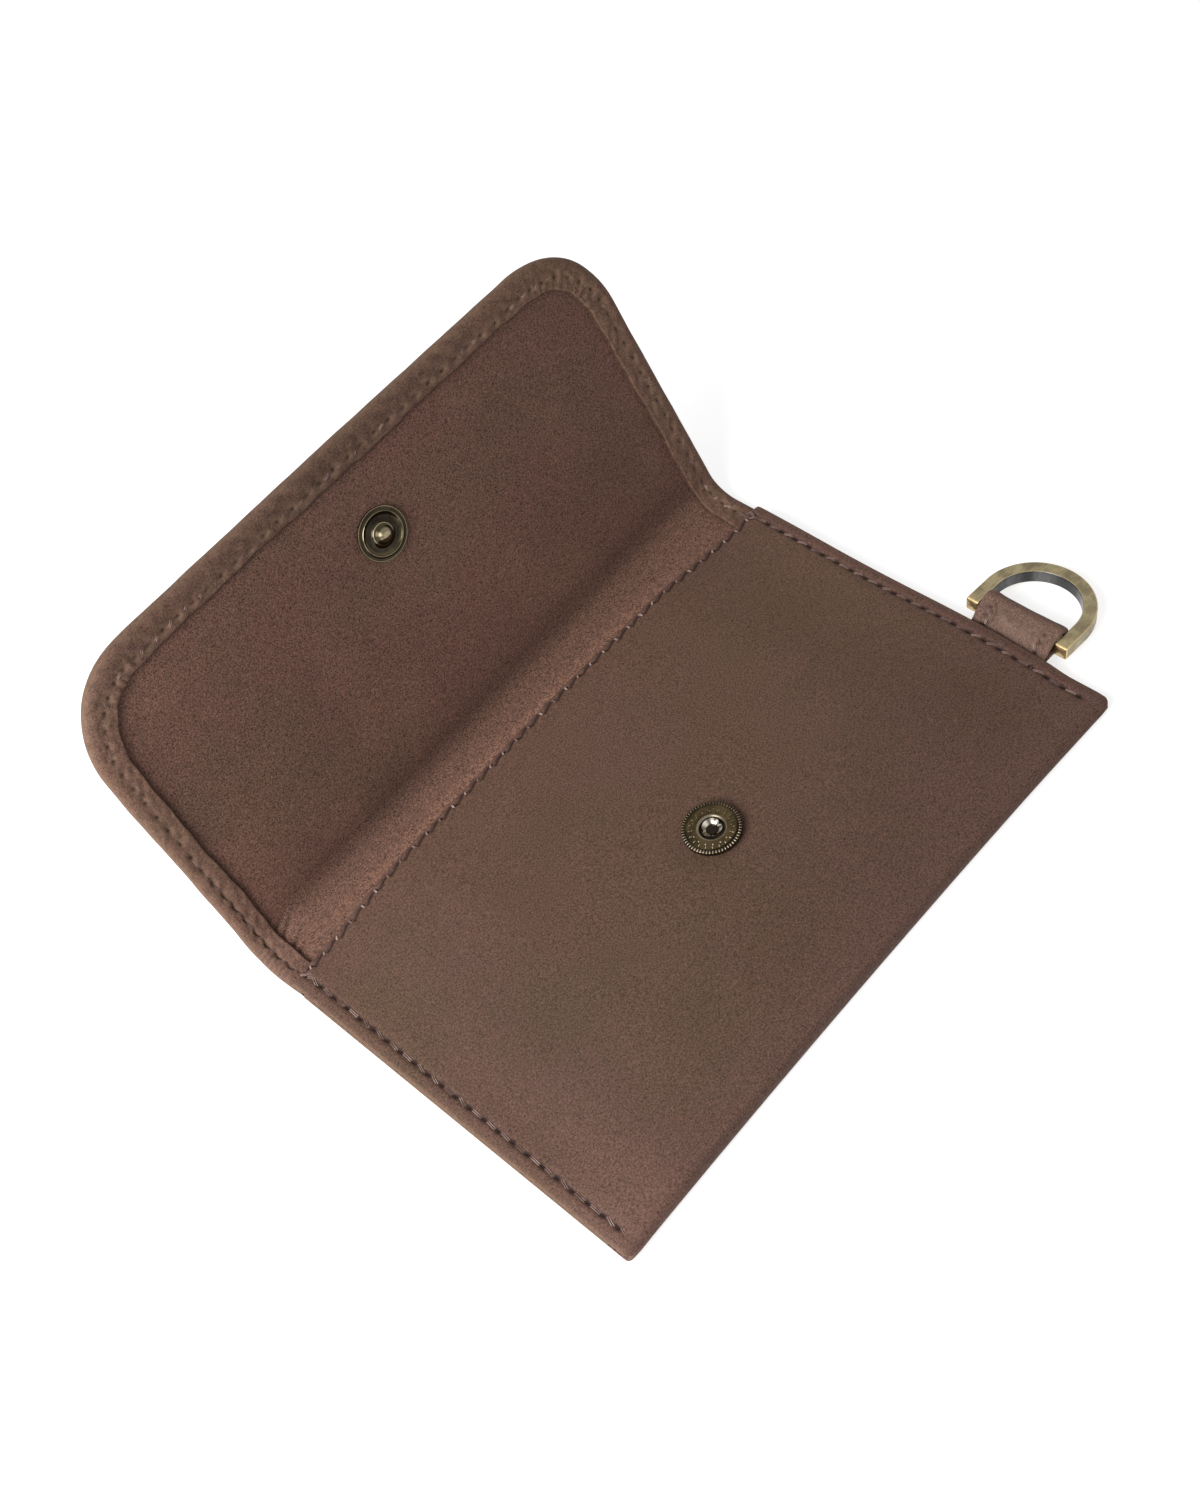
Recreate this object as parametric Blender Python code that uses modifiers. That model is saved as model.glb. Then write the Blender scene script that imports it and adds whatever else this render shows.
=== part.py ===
"""Fold-over leather wallet, standing open: pocket lying flat, flap raised, D-ring resting beside it.

Units are metres, +Z up. The origin is the middle of the pocket's back face, +X runs along the
long side towards the D-ring, and +Y runs across the mouth towards the flap.
"""

import math

import bmesh
import bpy
from mathutils import Vector

# Pocket
WALLET_WIDTH = 0.1200
POCKET_DEPTH = 0.0758
LEATHER = 0.00125
LINING = 0.0008
LAYER_GAP = 0.0002
POCKET_GAPE = 0.0047
GAPE_RUN_SIDE = 0.0280
FULL_BELOW_SNAP = 0.00905
POCKET_CORNER_RADIUS = 0.0025
FOLD_UNDERLAP = 0.0030
EDGE_ROUND = 0.0004
SHEET_EDGE_ROUND = 0.0002

# Spine and flap, measured from the hinge lines at the lining's inner face
MOUTH_TO_SPINE_AXIS = 0.0008
SPINE_HEIGHT = 0.0089
HINGE_HALF_GAP = 0.00015
FLAP_LENGTH = 0.0589
FLAP_CORNER_RADIUS = 0.0158
FLAP_RAISED_DEG = 69.0
BORDER_WIDTH = 0.0050
BORDER_LEATHER = 0.0008
BORDER_START_AT_MOUTH = 0.0022
BORDER_START_AT_CREASE = 0.0012
THREAD_START_AT_CREASE = 0.0020

# Thread
THREAD_RADIUS = 0.00028
SEAM_INSET = 0.0026
SEAM_END = 0.0030
MOUTH_SEAM_INSET = 0.0009
BORDER_SEAM_INSET = 0.0025

# Tab that holds the D-ring
TAB_CENTRE_BELOW_MOUTH = 0.0551
TAB_SIDE_CLEARANCE = 0.00077
TAB_FLARE = 0.0010
TAB_LEATHER = 0.0009
TAB_TAIL = 0.0060
TAB_BAR_REACH = 0.0050
TAB_LIFT_EASE_MOUTH = 0.0300
TAB_LIFT_EASE_FOLD = 0.0100
TAB_SEAM_INSET = 0.0022

# D-ring: a bow of rectangular stock on a cross bar
RING_OUTER_RADIUS = 0.01022
RING_STOCK_WIDTH = 0.00235
RING_STOCK_THICKNESS = 0.00245
RING_LEG = 0.00582
RING_TAIL = 0.0020
RING_EDGE_ROUND = 0.00025
RING_TABLE_GAP = 0.00006
BAR_RADIUS = 0.0010
BAR_SPIGOT_RADIUS = 0.00065
BAR_CLEARANCE = 0.00015

# Press stud
SNAP_X = 0.0008
STUD_BELOW_FLAP_END = 0.0172
SNAP_HOLE_RADIUS = 0.00125
SEAT_GAP = 0.00012
SOCKET_RADIUS = 0.00505
SOCKET_RIM_HEIGHT = 0.00125
SOCKET_FACE_HEIGHT = 0.00085
SOCKET_FACE_RADIUS = 0.0041
SOCKET_LIP_HEIGHT = 0.00135
SOCKET_LIP_RADIUS = 0.0028
SOCKET_HOLE_RADIUS = 0.0023
SOCKET_CAVITY_RADIUS = 0.0031
SOCKET_WALL = 0.00022
SPRING_RADIUS = 0.00262
SPRING_WIRE_RADIUS = 0.00020
SPRING_HEIGHT = 0.00064
EYELET_TUBE_RADIUS = 0.0010
EYELET_BORE_RADIUS = 0.0007
EYELET_ROLL_RADIUS = 0.0019
EYELET_ROLL_HEIGHT = 0.00060
EYELET_FLANGE_RADIUS = 0.0042
EYELET_FLANGE = 0.00035
STUD_RADIUS = 0.00476
STUD_RIM_HEIGHT = 0.0010
STUD_GROOVE_RADIUS = 0.0036
STUD_GROOVE_HEIGHT = 0.00045
STUD_RING_RADIUS = 0.0029
STUD_RING_HEIGHT = 0.00085
STUD_DISH_RADIUS = 0.0021
STUD_KNOB_RADIUS = 0.00185
STUD_NECK_RADIUS = 0.00150
STUD_KNOB_HEIGHT = 0.0020
STUD_BORE_RADIUS = 0.00085
CAP_RADIUS = 0.0062
CAP_HEIGHT = 0.0013
CAP_POST_RADIUS = 0.00065
CAP_ROLL_RADIUS = 0.00110

# Counts
PILLOW_COLUMNS = 24
PILLOW_ROWS = 16
FOLD_STEPS = 6
CORNER_STEPS = 10
RING_STEPS = 24
LOOP_STEPS = 14
TURNED_STEPS = 28
SEAM_POINTS = 15
SPRING_WIRE_SIDES = 6

# One overrun for every cut, and the distance within which points are one
OVERRUN = 0.0020
WELD = 0.000001

# Angles that tell an edge from a curve
SMOOTH_BELOW_DEG = 35.0
ROUND_ABOVE_DEG = 50.0

# Where the tab's stitching starts and ends, as shares of its slope up to the bar
TAB_SEAM_SHARES = (0.15, 1.0)

# Places worked out from the sizes
HALF_WIDTH = WALLET_WIDTH / 2
MOUTH_Y = POCKET_DEPTH / 2
LINING_LOW = LEATHER + LAYER_GAP
LINING_TOP = LINING_LOW + LINING
FRONT_LOW = LINING_TOP + LAYER_GAP
SEAM_TOP = FRONT_LOW + LEATHER
FOLD_Y = -MOUTH_Y + SEAM_TOP / 2
BACK_START_Y = FOLD_Y + FOLD_UNDERLAP
SPINE_AXIS_Y = MOUTH_Y + MOUTH_TO_SPINE_AXIS
CREASE_Y = SPINE_AXIS_Y + SPINE_HEIGHT
OUTER_LOW = -LINING_TOP
OUTER_TOP = OUTER_LOW + LEATHER
BORDER_LOW = LAYER_GAP
BORDER_TOP = BORDER_LOW + BORDER_LEATHER
TAB_Y = MOUTH_Y - TAB_CENTRE_BELOW_MOUTH
TAB_LOW = LINING_TOP + LAYER_GAP
TAB_TOP = TAB_LOW + 2 * TAB_LEATHER + LAYER_GAP
TAB_STACK = TAB_TOP - TAB_LOW + LAYER_GAP
BAR_X = HALF_WIDTH + TAB_BAR_REACH
BAR_Z = (TAB_LOW + TAB_TOP) / 2
TAB_LOOP_WIDTH = 2 * (RING_OUTER_RADIUS - RING_STOCK_WIDTH - TAB_SIDE_CLEARANCE)
TAB_ROOT_WIDTH = TAB_LOOP_WIDTH + TAB_FLARE
STUD_REACH = FLAP_LENGTH - STUD_BELOW_FLAP_END
SNAP_Y = SPINE_AXIS_Y - STUD_REACH
GAPE_RUN_FOLD = SNAP_Y - FULL_BELOW_SNAP - FOLD_Y


def clear_scene():
    for old in list(bpy.data.objects):
        bpy.data.objects.remove(old, do_unlink=True)


def new_collection(name):
    made = bpy.data.collections.new(name)
    bpy.context.scene.collection.children.link(made)
    return made


def new_material(name, colour, roughness, metallic):
    made = bpy.data.materials.new(name)
    made.use_nodes = True
    shader = made.node_tree.nodes["Principled BSDF"]
    shader.inputs["Base Color"].default_value = (*colour, 1.0)
    shader.inputs["Roughness"].default_value = roughness
    shader.inputs["Metallic"].default_value = metallic
    made.diffuse_color = (*colour, 1.0)
    return made


def new_object(name, mesh, material=None, parent=None):
    made = bpy.data.objects.new(name, mesh)
    wallet.objects.link(made)
    if material:
        mesh.materials.append(material)
    if parent:
        made.parent = parent
    return made


def hinge_empty(name, place, turn, parent=None):
    """An empty on a joint's axis: what moves with the joint is its child."""
    made = bpy.data.objects.new(name, None)
    wallet.objects.link(made)
    made.location = place
    made.rotation_euler = turn
    made.parent = parent
    return made


def shade_round(obj):
    obj.data.shade_smooth()
    obj.data.set_sharp_from_angle(angle=math.radians(SMOOTH_BELOW_DEG))


def round_edges(obj, width, segments=2):
    bevel = obj.modifiers.new("rounded edges", "BEVEL")
    bevel.width = width
    bevel.segments = segments
    bevel.limit_method = "ANGLE"
    bevel.angle_limit = math.radians(ROUND_ABOVE_DEG)


def cut_away(obj, cutter):
    """Subtracts the cutter, which moves to the cutters' collection and is not rendered."""
    wallet.objects.unlink(cutter)
    cutters.objects.link(cutter)
    cutter.hide_render = True
    cutter.display_type = "WIRE"
    boolean = obj.modifiers.new("cut " + cutter.name, "BOOLEAN")
    boolean.operation = "DIFFERENCE"
    boolean.solver = "EXACT"
    boolean.object = cutter


def box(name, low, high, material=None, parent=None):
    shape = bmesh.new()
    bmesh.ops.create_cube(shape, size=1.0)
    low, high = Vector(low), Vector(high)
    bmesh.ops.scale(shape, vec=high - low, verts=shape.verts)
    bmesh.ops.translate(shape, vec=(low + high) / 2, verts=shape.verts)
    mesh = bpy.data.meshes.new(name)
    shape.to_mesh(mesh)
    shape.free()
    return new_object(name, mesh, material, parent)


def plate(name, outline, low, high, material=None, parent=None):
    """A flat plate: an outline in X and Y filled between two heights, made a welded mesh."""
    curve = bpy.data.curves.new(name, "CURVE")
    curve.dimensions = "2D"
    curve.fill_mode = "BOTH"
    curve.extrude = (high - low) / 2
    spline = curve.splines.new("POLY")
    spline.points.add(len(outline) - 1)
    for point, (x, y) in zip(spline.points, outline):
        point.co = (x, y, 0.0, 1.0)
    spline.use_cyclic_u = True
    drawn = bpy.data.objects.new(name + " outline", curve)
    wallet.objects.link(drawn)
    graph = bpy.context.evaluated_depsgraph_get()
    mesh = bpy.data.meshes.new_from_object(drawn.evaluated_get(graph))
    mesh.name = name
    bpy.data.objects.remove(drawn, do_unlink=True)
    shape = bmesh.new()
    shape.from_mesh(mesh)
    bmesh.ops.remove_doubles(shape, verts=shape.verts, dist=WELD)
    bmesh.ops.translate(shape, vec=(0, 0, (low + high) / 2), verts=shape.verts)
    bmesh.ops.recalc_face_normals(shape, faces=shape.faces)
    shape.to_mesh(mesh)
    shape.free()
    return new_object(name, mesh, material, parent)


def sheet(name, rows, thickness, material, parent=None):
    """A leather sheet: rows of points joined into an open surface, thickened both ways."""
    shape = bmesh.new()
    grid = [[shape.verts.new(point) for point in row] for row in rows]
    for near, far in zip(grid, grid[1:]):
        for i in range(len(near) - 1):
            shape.faces.new((near[i], near[i + 1], far[i + 1], far[i]))
    mesh = bpy.data.meshes.new(name)
    shape.to_mesh(mesh)
    shape.free()
    made = new_object(name, mesh, material, parent)
    solidify = made.modifiers.new("leather thickness", "SOLIDIFY")
    solidify.thickness = thickness
    solidify.offset = 0.0
    solidify.use_even_offset = True
    return made


def turned(name, profile, material, parent=None, steps=TURNED_STEPS):
    """A turned piece: a profile of (radius, height) points, from top to bottom on its outer side."""
    mesh = bpy.data.meshes.new(name)
    count = len(profile)
    closed = profile[0][0] > 0
    edges = [(i, i + 1) for i in range(count - 1)]
    if closed:
        edges.append((count - 1, 0))
    mesh.from_pydata([(radius, 0.0, height) for radius, height in profile], edges, [])
    made = new_object(name, mesh, material, parent)
    screw = made.modifiers.new("turned", "SCREW")
    screw.axis = "Z"
    screw.steps = steps
    screw.render_steps = steps
    screw.use_merge_vertices = True
    screw.merge_threshold = WELD
    screw.use_smooth_shade = True
    return made


def thread(name, route, parent=None):
    """A run of sewing thread lying on the leather."""
    curve = bpy.data.curves.new(name, "CURVE")
    curve.dimensions = "3D"
    curve.bevel_depth = THREAD_RADIUS
    curve.bevel_resolution = 1
    curve.use_fill_caps = True
    curve.materials.append(thread_brown)
    spline = curve.splines.new("POLY")
    spline.points.add(len(route) - 1)
    for point, place in zip(spline.points, route):
        point.co = (*place, 1.0)
    made = bpy.data.objects.new(name, curve)
    wallet.objects.link(made)
    made.parent = parent
    return made


def arc(centre, radius, start_deg, end_deg, steps):
    turns = [math.radians(start_deg + (end_deg - start_deg) * i / steps) for i in range(steps + 1)]
    return [(centre[0] + radius * math.cos(t), centre[1] + radius * math.sin(t)) for t in turns]


def ease(share):
    share = min(max(share, 0.0), 1.0)
    return share * share * (3 - 2 * share)


def fullness(x, y):
    """How far the front panel stands up at a place, from 0 at the seams to 1 in its middle."""
    from_side = (HALF_WIDTH - SEAM_INSET - abs(x)) / GAPE_RUN_SIDE
    from_fold = (y - FOLD_Y) / GAPE_RUN_FOLD
    return ease(from_side) * ease(from_fold)


def tab_lift(x, y):
    """How far the tab's two tails hold the front panel off the lining at the right-hand seam."""
    beyond = abs(y - TAB_Y) - TAB_ROOT_WIDTH / 2
    run = TAB_LIFT_EASE_MOUTH if y > TAB_Y else TAB_LIFT_EASE_FOLD
    inwards = (x - HALF_WIDTH + TAB_TAIL + GAPE_RUN_SIDE) / GAPE_RUN_SIDE
    return TAB_STACK * (1 - ease(beyond / run)) * ease(inwards)


def front_rise(x, y):
    full = fullness(x, y)
    return POCKET_GAPE * full + tab_lift(x, y) * (1 - full)


def front_top(x, y):
    return SEAM_TOP + front_rise(x, y)


def half_width_at(y):
    """The pocket's half width, less where its bottom corners are rounded."""
    into_corner = max(0.0, POCKET_CORNER_RADIUS - (y + MOUTH_Y))
    return HALF_WIDTH - POCKET_CORNER_RADIUS + math.sqrt(POCKET_CORNER_RADIUS**2 - into_corner**2)


def make_pocket_front():
    """Front panel, bottom fold and the start of the back, cut from one piece of leather."""
    mid_low = LEATHER / 2
    mid_radius = (SEAM_TOP - LEATHER) / 2
    path = []
    for i in range(PILLOW_ROWS):
        path.append((MOUTH_Y + (FOLD_Y - MOUTH_Y) * i / PILLOW_ROWS, None))
    for i in range(FOLD_STEPS + 1):
        turn = math.pi * i / FOLD_STEPS
        path.append((FOLD_Y - mid_radius * math.sin(turn), mid_low + mid_radius * (1 + math.cos(turn))))
    path.append((BACK_START_Y - LAYER_GAP, mid_low))
    rows = []
    for y, z in path:
        row = []
        for i in range(PILLOW_COLUMNS + 1):
            x = half_width_at(y) * (2 * i / PILLOW_COLUMNS - 1)
            row.append((x, y, front_top(x, y) - mid_low if z is None else z))
        rows.append(row)
    front = sheet("pocket_front", rows, LEATHER, leather_outer)
    round_edges(front, EDGE_ROUND)
    drill(front, (SNAP_X, SNAP_Y, front_top(SNAP_X, SNAP_Y)))
    shade_round(front)


def drill(obj, place, parent=None):
    """The punched hole that a press stud's post goes through."""
    shape = bmesh.new()
    bmesh.ops.create_cone(
        shape,
        cap_ends=True,
        segments=TURNED_STEPS,
        radius1=SNAP_HOLE_RADIUS,
        radius2=SNAP_HOLE_RADIUS,
        depth=2 * (LEATHER + OVERRUN),
    )
    mesh = bpy.data.meshes.new(obj.name + " post hole")
    shape.to_mesh(mesh)
    shape.free()
    cutter = new_object(obj.name + " post hole", mesh, parent=parent)
    cutter.location = place
    cut_away(obj, cutter)


def make_pocket_back():
    end = SPINE_AXIS_Y - HINGE_HALF_GAP
    back = box("pocket_back", (-HALF_WIDTH, BACK_START_Y, 0), (HALF_WIDTH, end, LEATHER), leather_outer)
    round_edges(back, SHEET_EDGE_ROUND, segments=1)
    low = (-HALF_WIDTH, FOLD_Y + LAYER_GAP, LINING_LOW)
    lining = box("pocket_lining", low, (HALF_WIDTH, end, LINING_TOP), leather_lining)
    round_edges(lining, SHEET_EDGE_ROUND, segments=1)


def bordered_outline(inset, start, length, corner):
    """A panel's outline in its hinge's frame: straight at the hinge, square or round at the far end."""
    half = HALF_WIDTH - inset
    radius = max(corner - inset, 0.0)
    far = length - inset
    outline = [(-half, start), (half, start)]
    if radius > 0:
        outline += arc((half - radius, far - radius), radius, 0, 90, CORNER_STEPS)
        outline += arc((radius - half, far - radius), radius, 90, 180, CORNER_STEPS)
    else:
        outline += [(half, far), (-half, far)]
    return outline


def bordered_panel(name, length, corner, border_start, parent):
    """An outer leather whose edges turn over the lining: a plate with a slot and a window cut in it."""
    start = HINGE_HALF_GAP
    wall = LEATHER + LAYER_GAP / 2
    outline = bordered_outline(0, start, length, corner)
    panel = plate(name, outline, OUTER_LOW, BORDER_TOP, leather_outer, parent)
    round_edges(panel, EDGE_ROUND)
    reach = length if corner > 0 else length + OVERRUN
    outline = bordered_outline(wall, -OVERRUN, reach, corner)
    slot = plate(name + " lining slot", outline, OUTER_TOP, BORDER_LOW)
    reach += 0 if corner > 0 else BORDER_WIDTH
    outline = bordered_outline(BORDER_WIDTH, -OVERRUN, reach, corner)
    window = plate(name + " window", outline, OUTER_TOP + LAYER_GAP, BORDER_TOP + OVERRUN)
    wide = HALF_WIDTH + OVERRUN
    near = box(name + " border start", (-wide, -OVERRUN, 0), (wide, border_start, BORDER_TOP + OVERRUN))
    for cutter in (slot, window, near):
        cutter.parent = parent
        cut_away(panel, cutter)
    return panel


def make_spine():
    """The strip between the two folds, with its share of the lining and of the turned borders."""
    length = SPINE_HEIGHT - HINGE_HALF_GAP
    panel = bordered_panel("spine_leather", length, 0.0, BORDER_START_AT_MOUTH, spine_hinge)
    wide = HALF_WIDTH + OVERRUN
    low = (-wide, SPINE_HEIGHT - BORDER_START_AT_CREASE, 0)
    far = box("spine_leather border end", low, (wide, SPINE_HEIGHT + OVERRUN, BORDER_TOP + OVERRUN))
    far.parent = spine_hinge
    cut_away(panel, far)
    half = HALF_WIDTH - LEATHER - LAYER_GAP
    low = (-half, HINGE_HALF_GAP, -LINING)
    lining = box("spine_lining", low, (half, length, 0), leather_lining, spine_hinge)
    round_edges(lining, SHEET_EDGE_ROUND, segments=1)


def make_flap():
    """The raised flap: outer leather with its border turned over the lining's edge."""
    length, corner = FLAP_LENGTH, FLAP_CORNER_RADIUS
    panel = bordered_panel("flap_leather", length, corner, BORDER_START_AT_CREASE, flap_hinge)
    drill(panel, (SNAP_X, STUD_REACH, OUTER_TOP), flap_hinge)
    outline = bordered_outline(LEATHER + LAYER_GAP, HINGE_HALF_GAP, length, corner)
    lining = plate("flap_lining", outline, -LINING, 0, leather_lining, flap_hinge)
    drill(lining, (SNAP_X, STUD_REACH, 0), flap_hinge)


def make_threads():
    """One line of stitching for each seam, lying on the face that shows."""
    above = LAYER_GAP + THREAD_RADIUS
    seam_x = HALF_WIDTH - SEAM_INSET
    first, last = MOUTH_Y - MOUTH_SEAM_INSET - 3 * THREAD_RADIUS, SEAM_END - MOUTH_Y
    for side, name in ((1, "right_seam_thread"), (-1, "left_seam_thread")):
        route = []
        for i in range(SEAM_POINTS):
            y = first + (last - first) * i / (SEAM_POINTS - 1)
            route.append((side * seam_x, y, front_top(side * seam_x, y) + above))
        thread(name, route)
    count = 2 * SEAM_POINTS
    y = MOUTH_Y - MOUTH_SEAM_INSET
    reach = seam_x - 3 * THREAD_RADIUS
    route = []
    for i in range(count):
        x = reach * (2 * i / (count - 1) - 1)
        route.append((x, y, front_top(x, y) + above))
    thread("mouth_seam_thread", route)
    on_border = BORDER_TOP + above
    start, length, corner = THREAD_START_AT_CREASE, FLAP_LENGTH, FLAP_CORNER_RADIUS
    outline = bordered_outline(BORDER_SEAM_INSET, start, length, corner)
    route = [(x, y, on_border) for x, y in outline[1:] + outline[:1]]
    thread("flap_border_thread", route, flap_hinge)
    ends = BORDER_START_AT_MOUTH, SPINE_HEIGHT - THREAD_START_AT_CREASE
    for side, name in ((1, "spine_thread_right"), (-1, "spine_thread_left")):
        x = side * (HALF_WIDTH - BORDER_SEAM_INSET)
        thread(name, [(x, end, on_border) for end in ends], spine_hinge)


def tab_profile():
    """The tab's middle line in X and Z: out of the pocket, round the bar and back in."""
    radius = BAR_RADIUS + BAR_CLEARANCE + TAB_LEATHER / 2
    tail_offset = (TAB_LEATHER + LAYER_GAP) / 2
    pinch = Vector((HALF_WIDTH - BAR_X, tail_offset))
    wrap = math.acos(radius / pinch.length) - math.atan2(tail_offset, -pinch.x)
    start = 180.0 - math.degrees(wrap) - 2 * math.degrees(math.atan2(tail_offset, -pinch.x))
    upper = [(HALF_WIDTH - TAB_TAIL, BAR_Z + tail_offset), (HALF_WIDTH, BAR_Z + tail_offset)]
    loop = arc((BAR_X, BAR_Z), radius, start, -start, LOOP_STEPS)
    lower = [(x, 2 * BAR_Z - z) for x, z in reversed(upper)]
    return upper + loop + lower


def tab_half_width(x):
    out = ease((x - HALF_WIDTH) / TAB_BAR_REACH)
    return (TAB_ROOT_WIDTH + (TAB_LOOP_WIDTH - TAB_ROOT_WIDTH) * out) / 2


def make_tab():
    """A leather strip folded round the ring's bar, its two tails caught in the right-hand seam."""
    profile = tab_profile()
    rows = []
    for x, z in profile:
        half = tab_half_width(x)
        rows.append([(x, TAB_Y - half, z), (x, TAB_Y + half, z)])
    tab = sheet("tab_loop", rows, TAB_LEATHER, leather_outer)
    round_edges(tab, SHEET_EDGE_ROUND, segments=1)
    above = TAB_LEATHER / 2 + LAYER_GAP + THREAD_RADIUS
    start, end = profile[1], profile[2]
    slope = Vector((end[0] - start[0], end[1] - start[1])).normalized()
    lift = Vector((-slope.y, slope.x)) * above
    for side, name in ((1, "tab_thread_near"), (-1, "tab_thread_far")):
        route = []
        for share in TAB_SEAM_SHARES:
            x = start[0] + (end[0] - start[0]) * share + lift.x
            z = start[1] + (end[1] - start[1]) * share + lift.y
            route.append((x, TAB_Y + side * (TAB_LOOP_WIDTH / 2 - TAB_SEAM_INSET), z))
        thread(name, route)


def make_ring():
    """The bow of rectangular stock and the cross bar that its legs hold."""
    inner = RING_OUTER_RADIUS - RING_STOCK_WIDTH
    centre = (RING_LEG - RING_TAIL, 0.0)
    outline = [(-RING_TAIL, -RING_OUTER_RADIUS)]
    outline += arc(centre, RING_OUTER_RADIUS, -90, 90, RING_STEPS)
    outline += [(-RING_TAIL, RING_OUTER_RADIUS), (-RING_TAIL, inner)]
    outline += arc(centre, inner, 90, -90, RING_STEPS)
    outline += [(-RING_TAIL, -inner)]
    half = RING_STOCK_THICKNESS / 2
    bow = plate("d_ring_bow", outline, -half, half, antique_brass, ring_hinge)
    round_edges(bow, RING_EDGE_ROUND)
    shape = bmesh.new()
    hole = BAR_SPIGOT_RADIUS + BAR_CLEARANCE
    long = 2 * (RING_OUTER_RADIUS + OVERRUN)
    bmesh.ops.create_cone(shape, cap_ends=True, segments=TURNED_STEPS, radius1=hole, radius2=hole, depth=long)
    mesh = bpy.data.meshes.new("d_ring_bow bar holes")
    shape.to_mesh(mesh)
    shape.free()
    holes = new_object("d_ring_bow bar holes", mesh, parent=ring_hinge)
    holes.rotation_euler = (math.radians(90), 0, 0)
    cut_away(bow, holes)
    shoulder = inner - BAR_CLEARANCE
    profile = [
        (0, RING_OUTER_RADIUS),
        (BAR_SPIGOT_RADIUS, RING_OUTER_RADIUS),
        (BAR_SPIGOT_RADIUS, shoulder),
        (BAR_RADIUS, shoulder),
        (BAR_RADIUS, -shoulder),
        (BAR_SPIGOT_RADIUS, -shoulder),
        (BAR_SPIGOT_RADIUS, -RING_OUTER_RADIUS),
        (0, -RING_OUTER_RADIUS),
    ]
    bar = turned("d_ring_bar", profile, antique_brass, ring_hinge, steps=TURNED_STEPS // 2)
    bar.rotation_euler = (math.radians(90), 0, 0)


def make_socket():
    """The half of the press stud on the pocket: socket, its spring ring and the eyelet that clenches it."""
    seat = hinge_empty("socket_seat", (SNAP_X, SNAP_Y, front_top(SNAP_X, SNAP_Y)), (0, 0, 0))
    floor = SEAT_GAP + SOCKET_WALL
    rim_mid = (SOCKET_RADIUS + SOCKET_FACE_RADIUS) / 2
    socket = [
        (SOCKET_HOLE_RADIUS, SOCKET_LIP_HEIGHT),
        (SOCKET_LIP_RADIUS, SOCKET_LIP_HEIGHT),
        (SOCKET_CAVITY_RADIUS + SOCKET_WALL, SOCKET_FACE_HEIGHT),
        (SOCKET_FACE_RADIUS, SOCKET_FACE_HEIGHT),
        (SOCKET_FACE_RADIUS + SOCKET_WALL, SOCKET_RIM_HEIGHT - SOCKET_WALL / 2),
        (rim_mid, SOCKET_RIM_HEIGHT),
        (SOCKET_RADIUS - SOCKET_WALL, SOCKET_RIM_HEIGHT - SOCKET_WALL / 2),
        (SOCKET_RADIUS, SOCKET_RIM_HEIGHT / 2),
        (SOCKET_RADIUS - SOCKET_WALL, SEAT_GAP),
        (SNAP_HOLE_RADIUS, SEAT_GAP),
        (SNAP_HOLE_RADIUS, floor),
        (SOCKET_CAVITY_RADIUS, floor),
        (SOCKET_CAVITY_RADIUS, SOCKET_FACE_HEIGHT),
        (SOCKET_HOLE_RADIUS, SOCKET_LIP_HEIGHT - SOCKET_WALL),
    ]
    turned("socket_body", socket, antique_brass, seat)
    bpy.ops.mesh.primitive_torus_add(
        major_radius=SPRING_RADIUS,
        minor_radius=SPRING_WIRE_RADIUS,
        major_segments=TURNED_STEPS,
        minor_segments=SPRING_WIRE_SIDES,
    )
    spring = bpy.context.object
    for holder in list(spring.users_collection):
        holder.objects.unlink(spring)
    wallet.objects.link(spring)
    spring.name = "socket_spring"
    spring.data.materials.append(spring_steel)
    spring.parent = seat
    spring.location = (0, 0, SPRING_HEIGHT)
    roll_low = floor + SEAT_GAP
    under = -LEATHER - SEAT_GAP
    eyelet = [
        (EYELET_BORE_RADIUS, EYELET_ROLL_HEIGHT),
        ((EYELET_BORE_RADIUS + EYELET_ROLL_RADIUS) / 2, EYELET_ROLL_HEIGHT + SEAT_GAP / 2),
        (EYELET_ROLL_RADIUS, roll_low),
        (EYELET_TUBE_RADIUS, roll_low),
        (EYELET_TUBE_RADIUS, under),
        (EYELET_FLANGE_RADIUS, under),
        (EYELET_FLANGE_RADIUS - EYELET_FLANGE, under - EYELET_FLANGE),
        (EYELET_BORE_RADIUS + EYELET_FLANGE, under - EYELET_FLANGE),
        (EYELET_BORE_RADIUS, under),
    ]
    turned("socket_eyelet", eyelet, antique_brass, seat)


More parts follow.
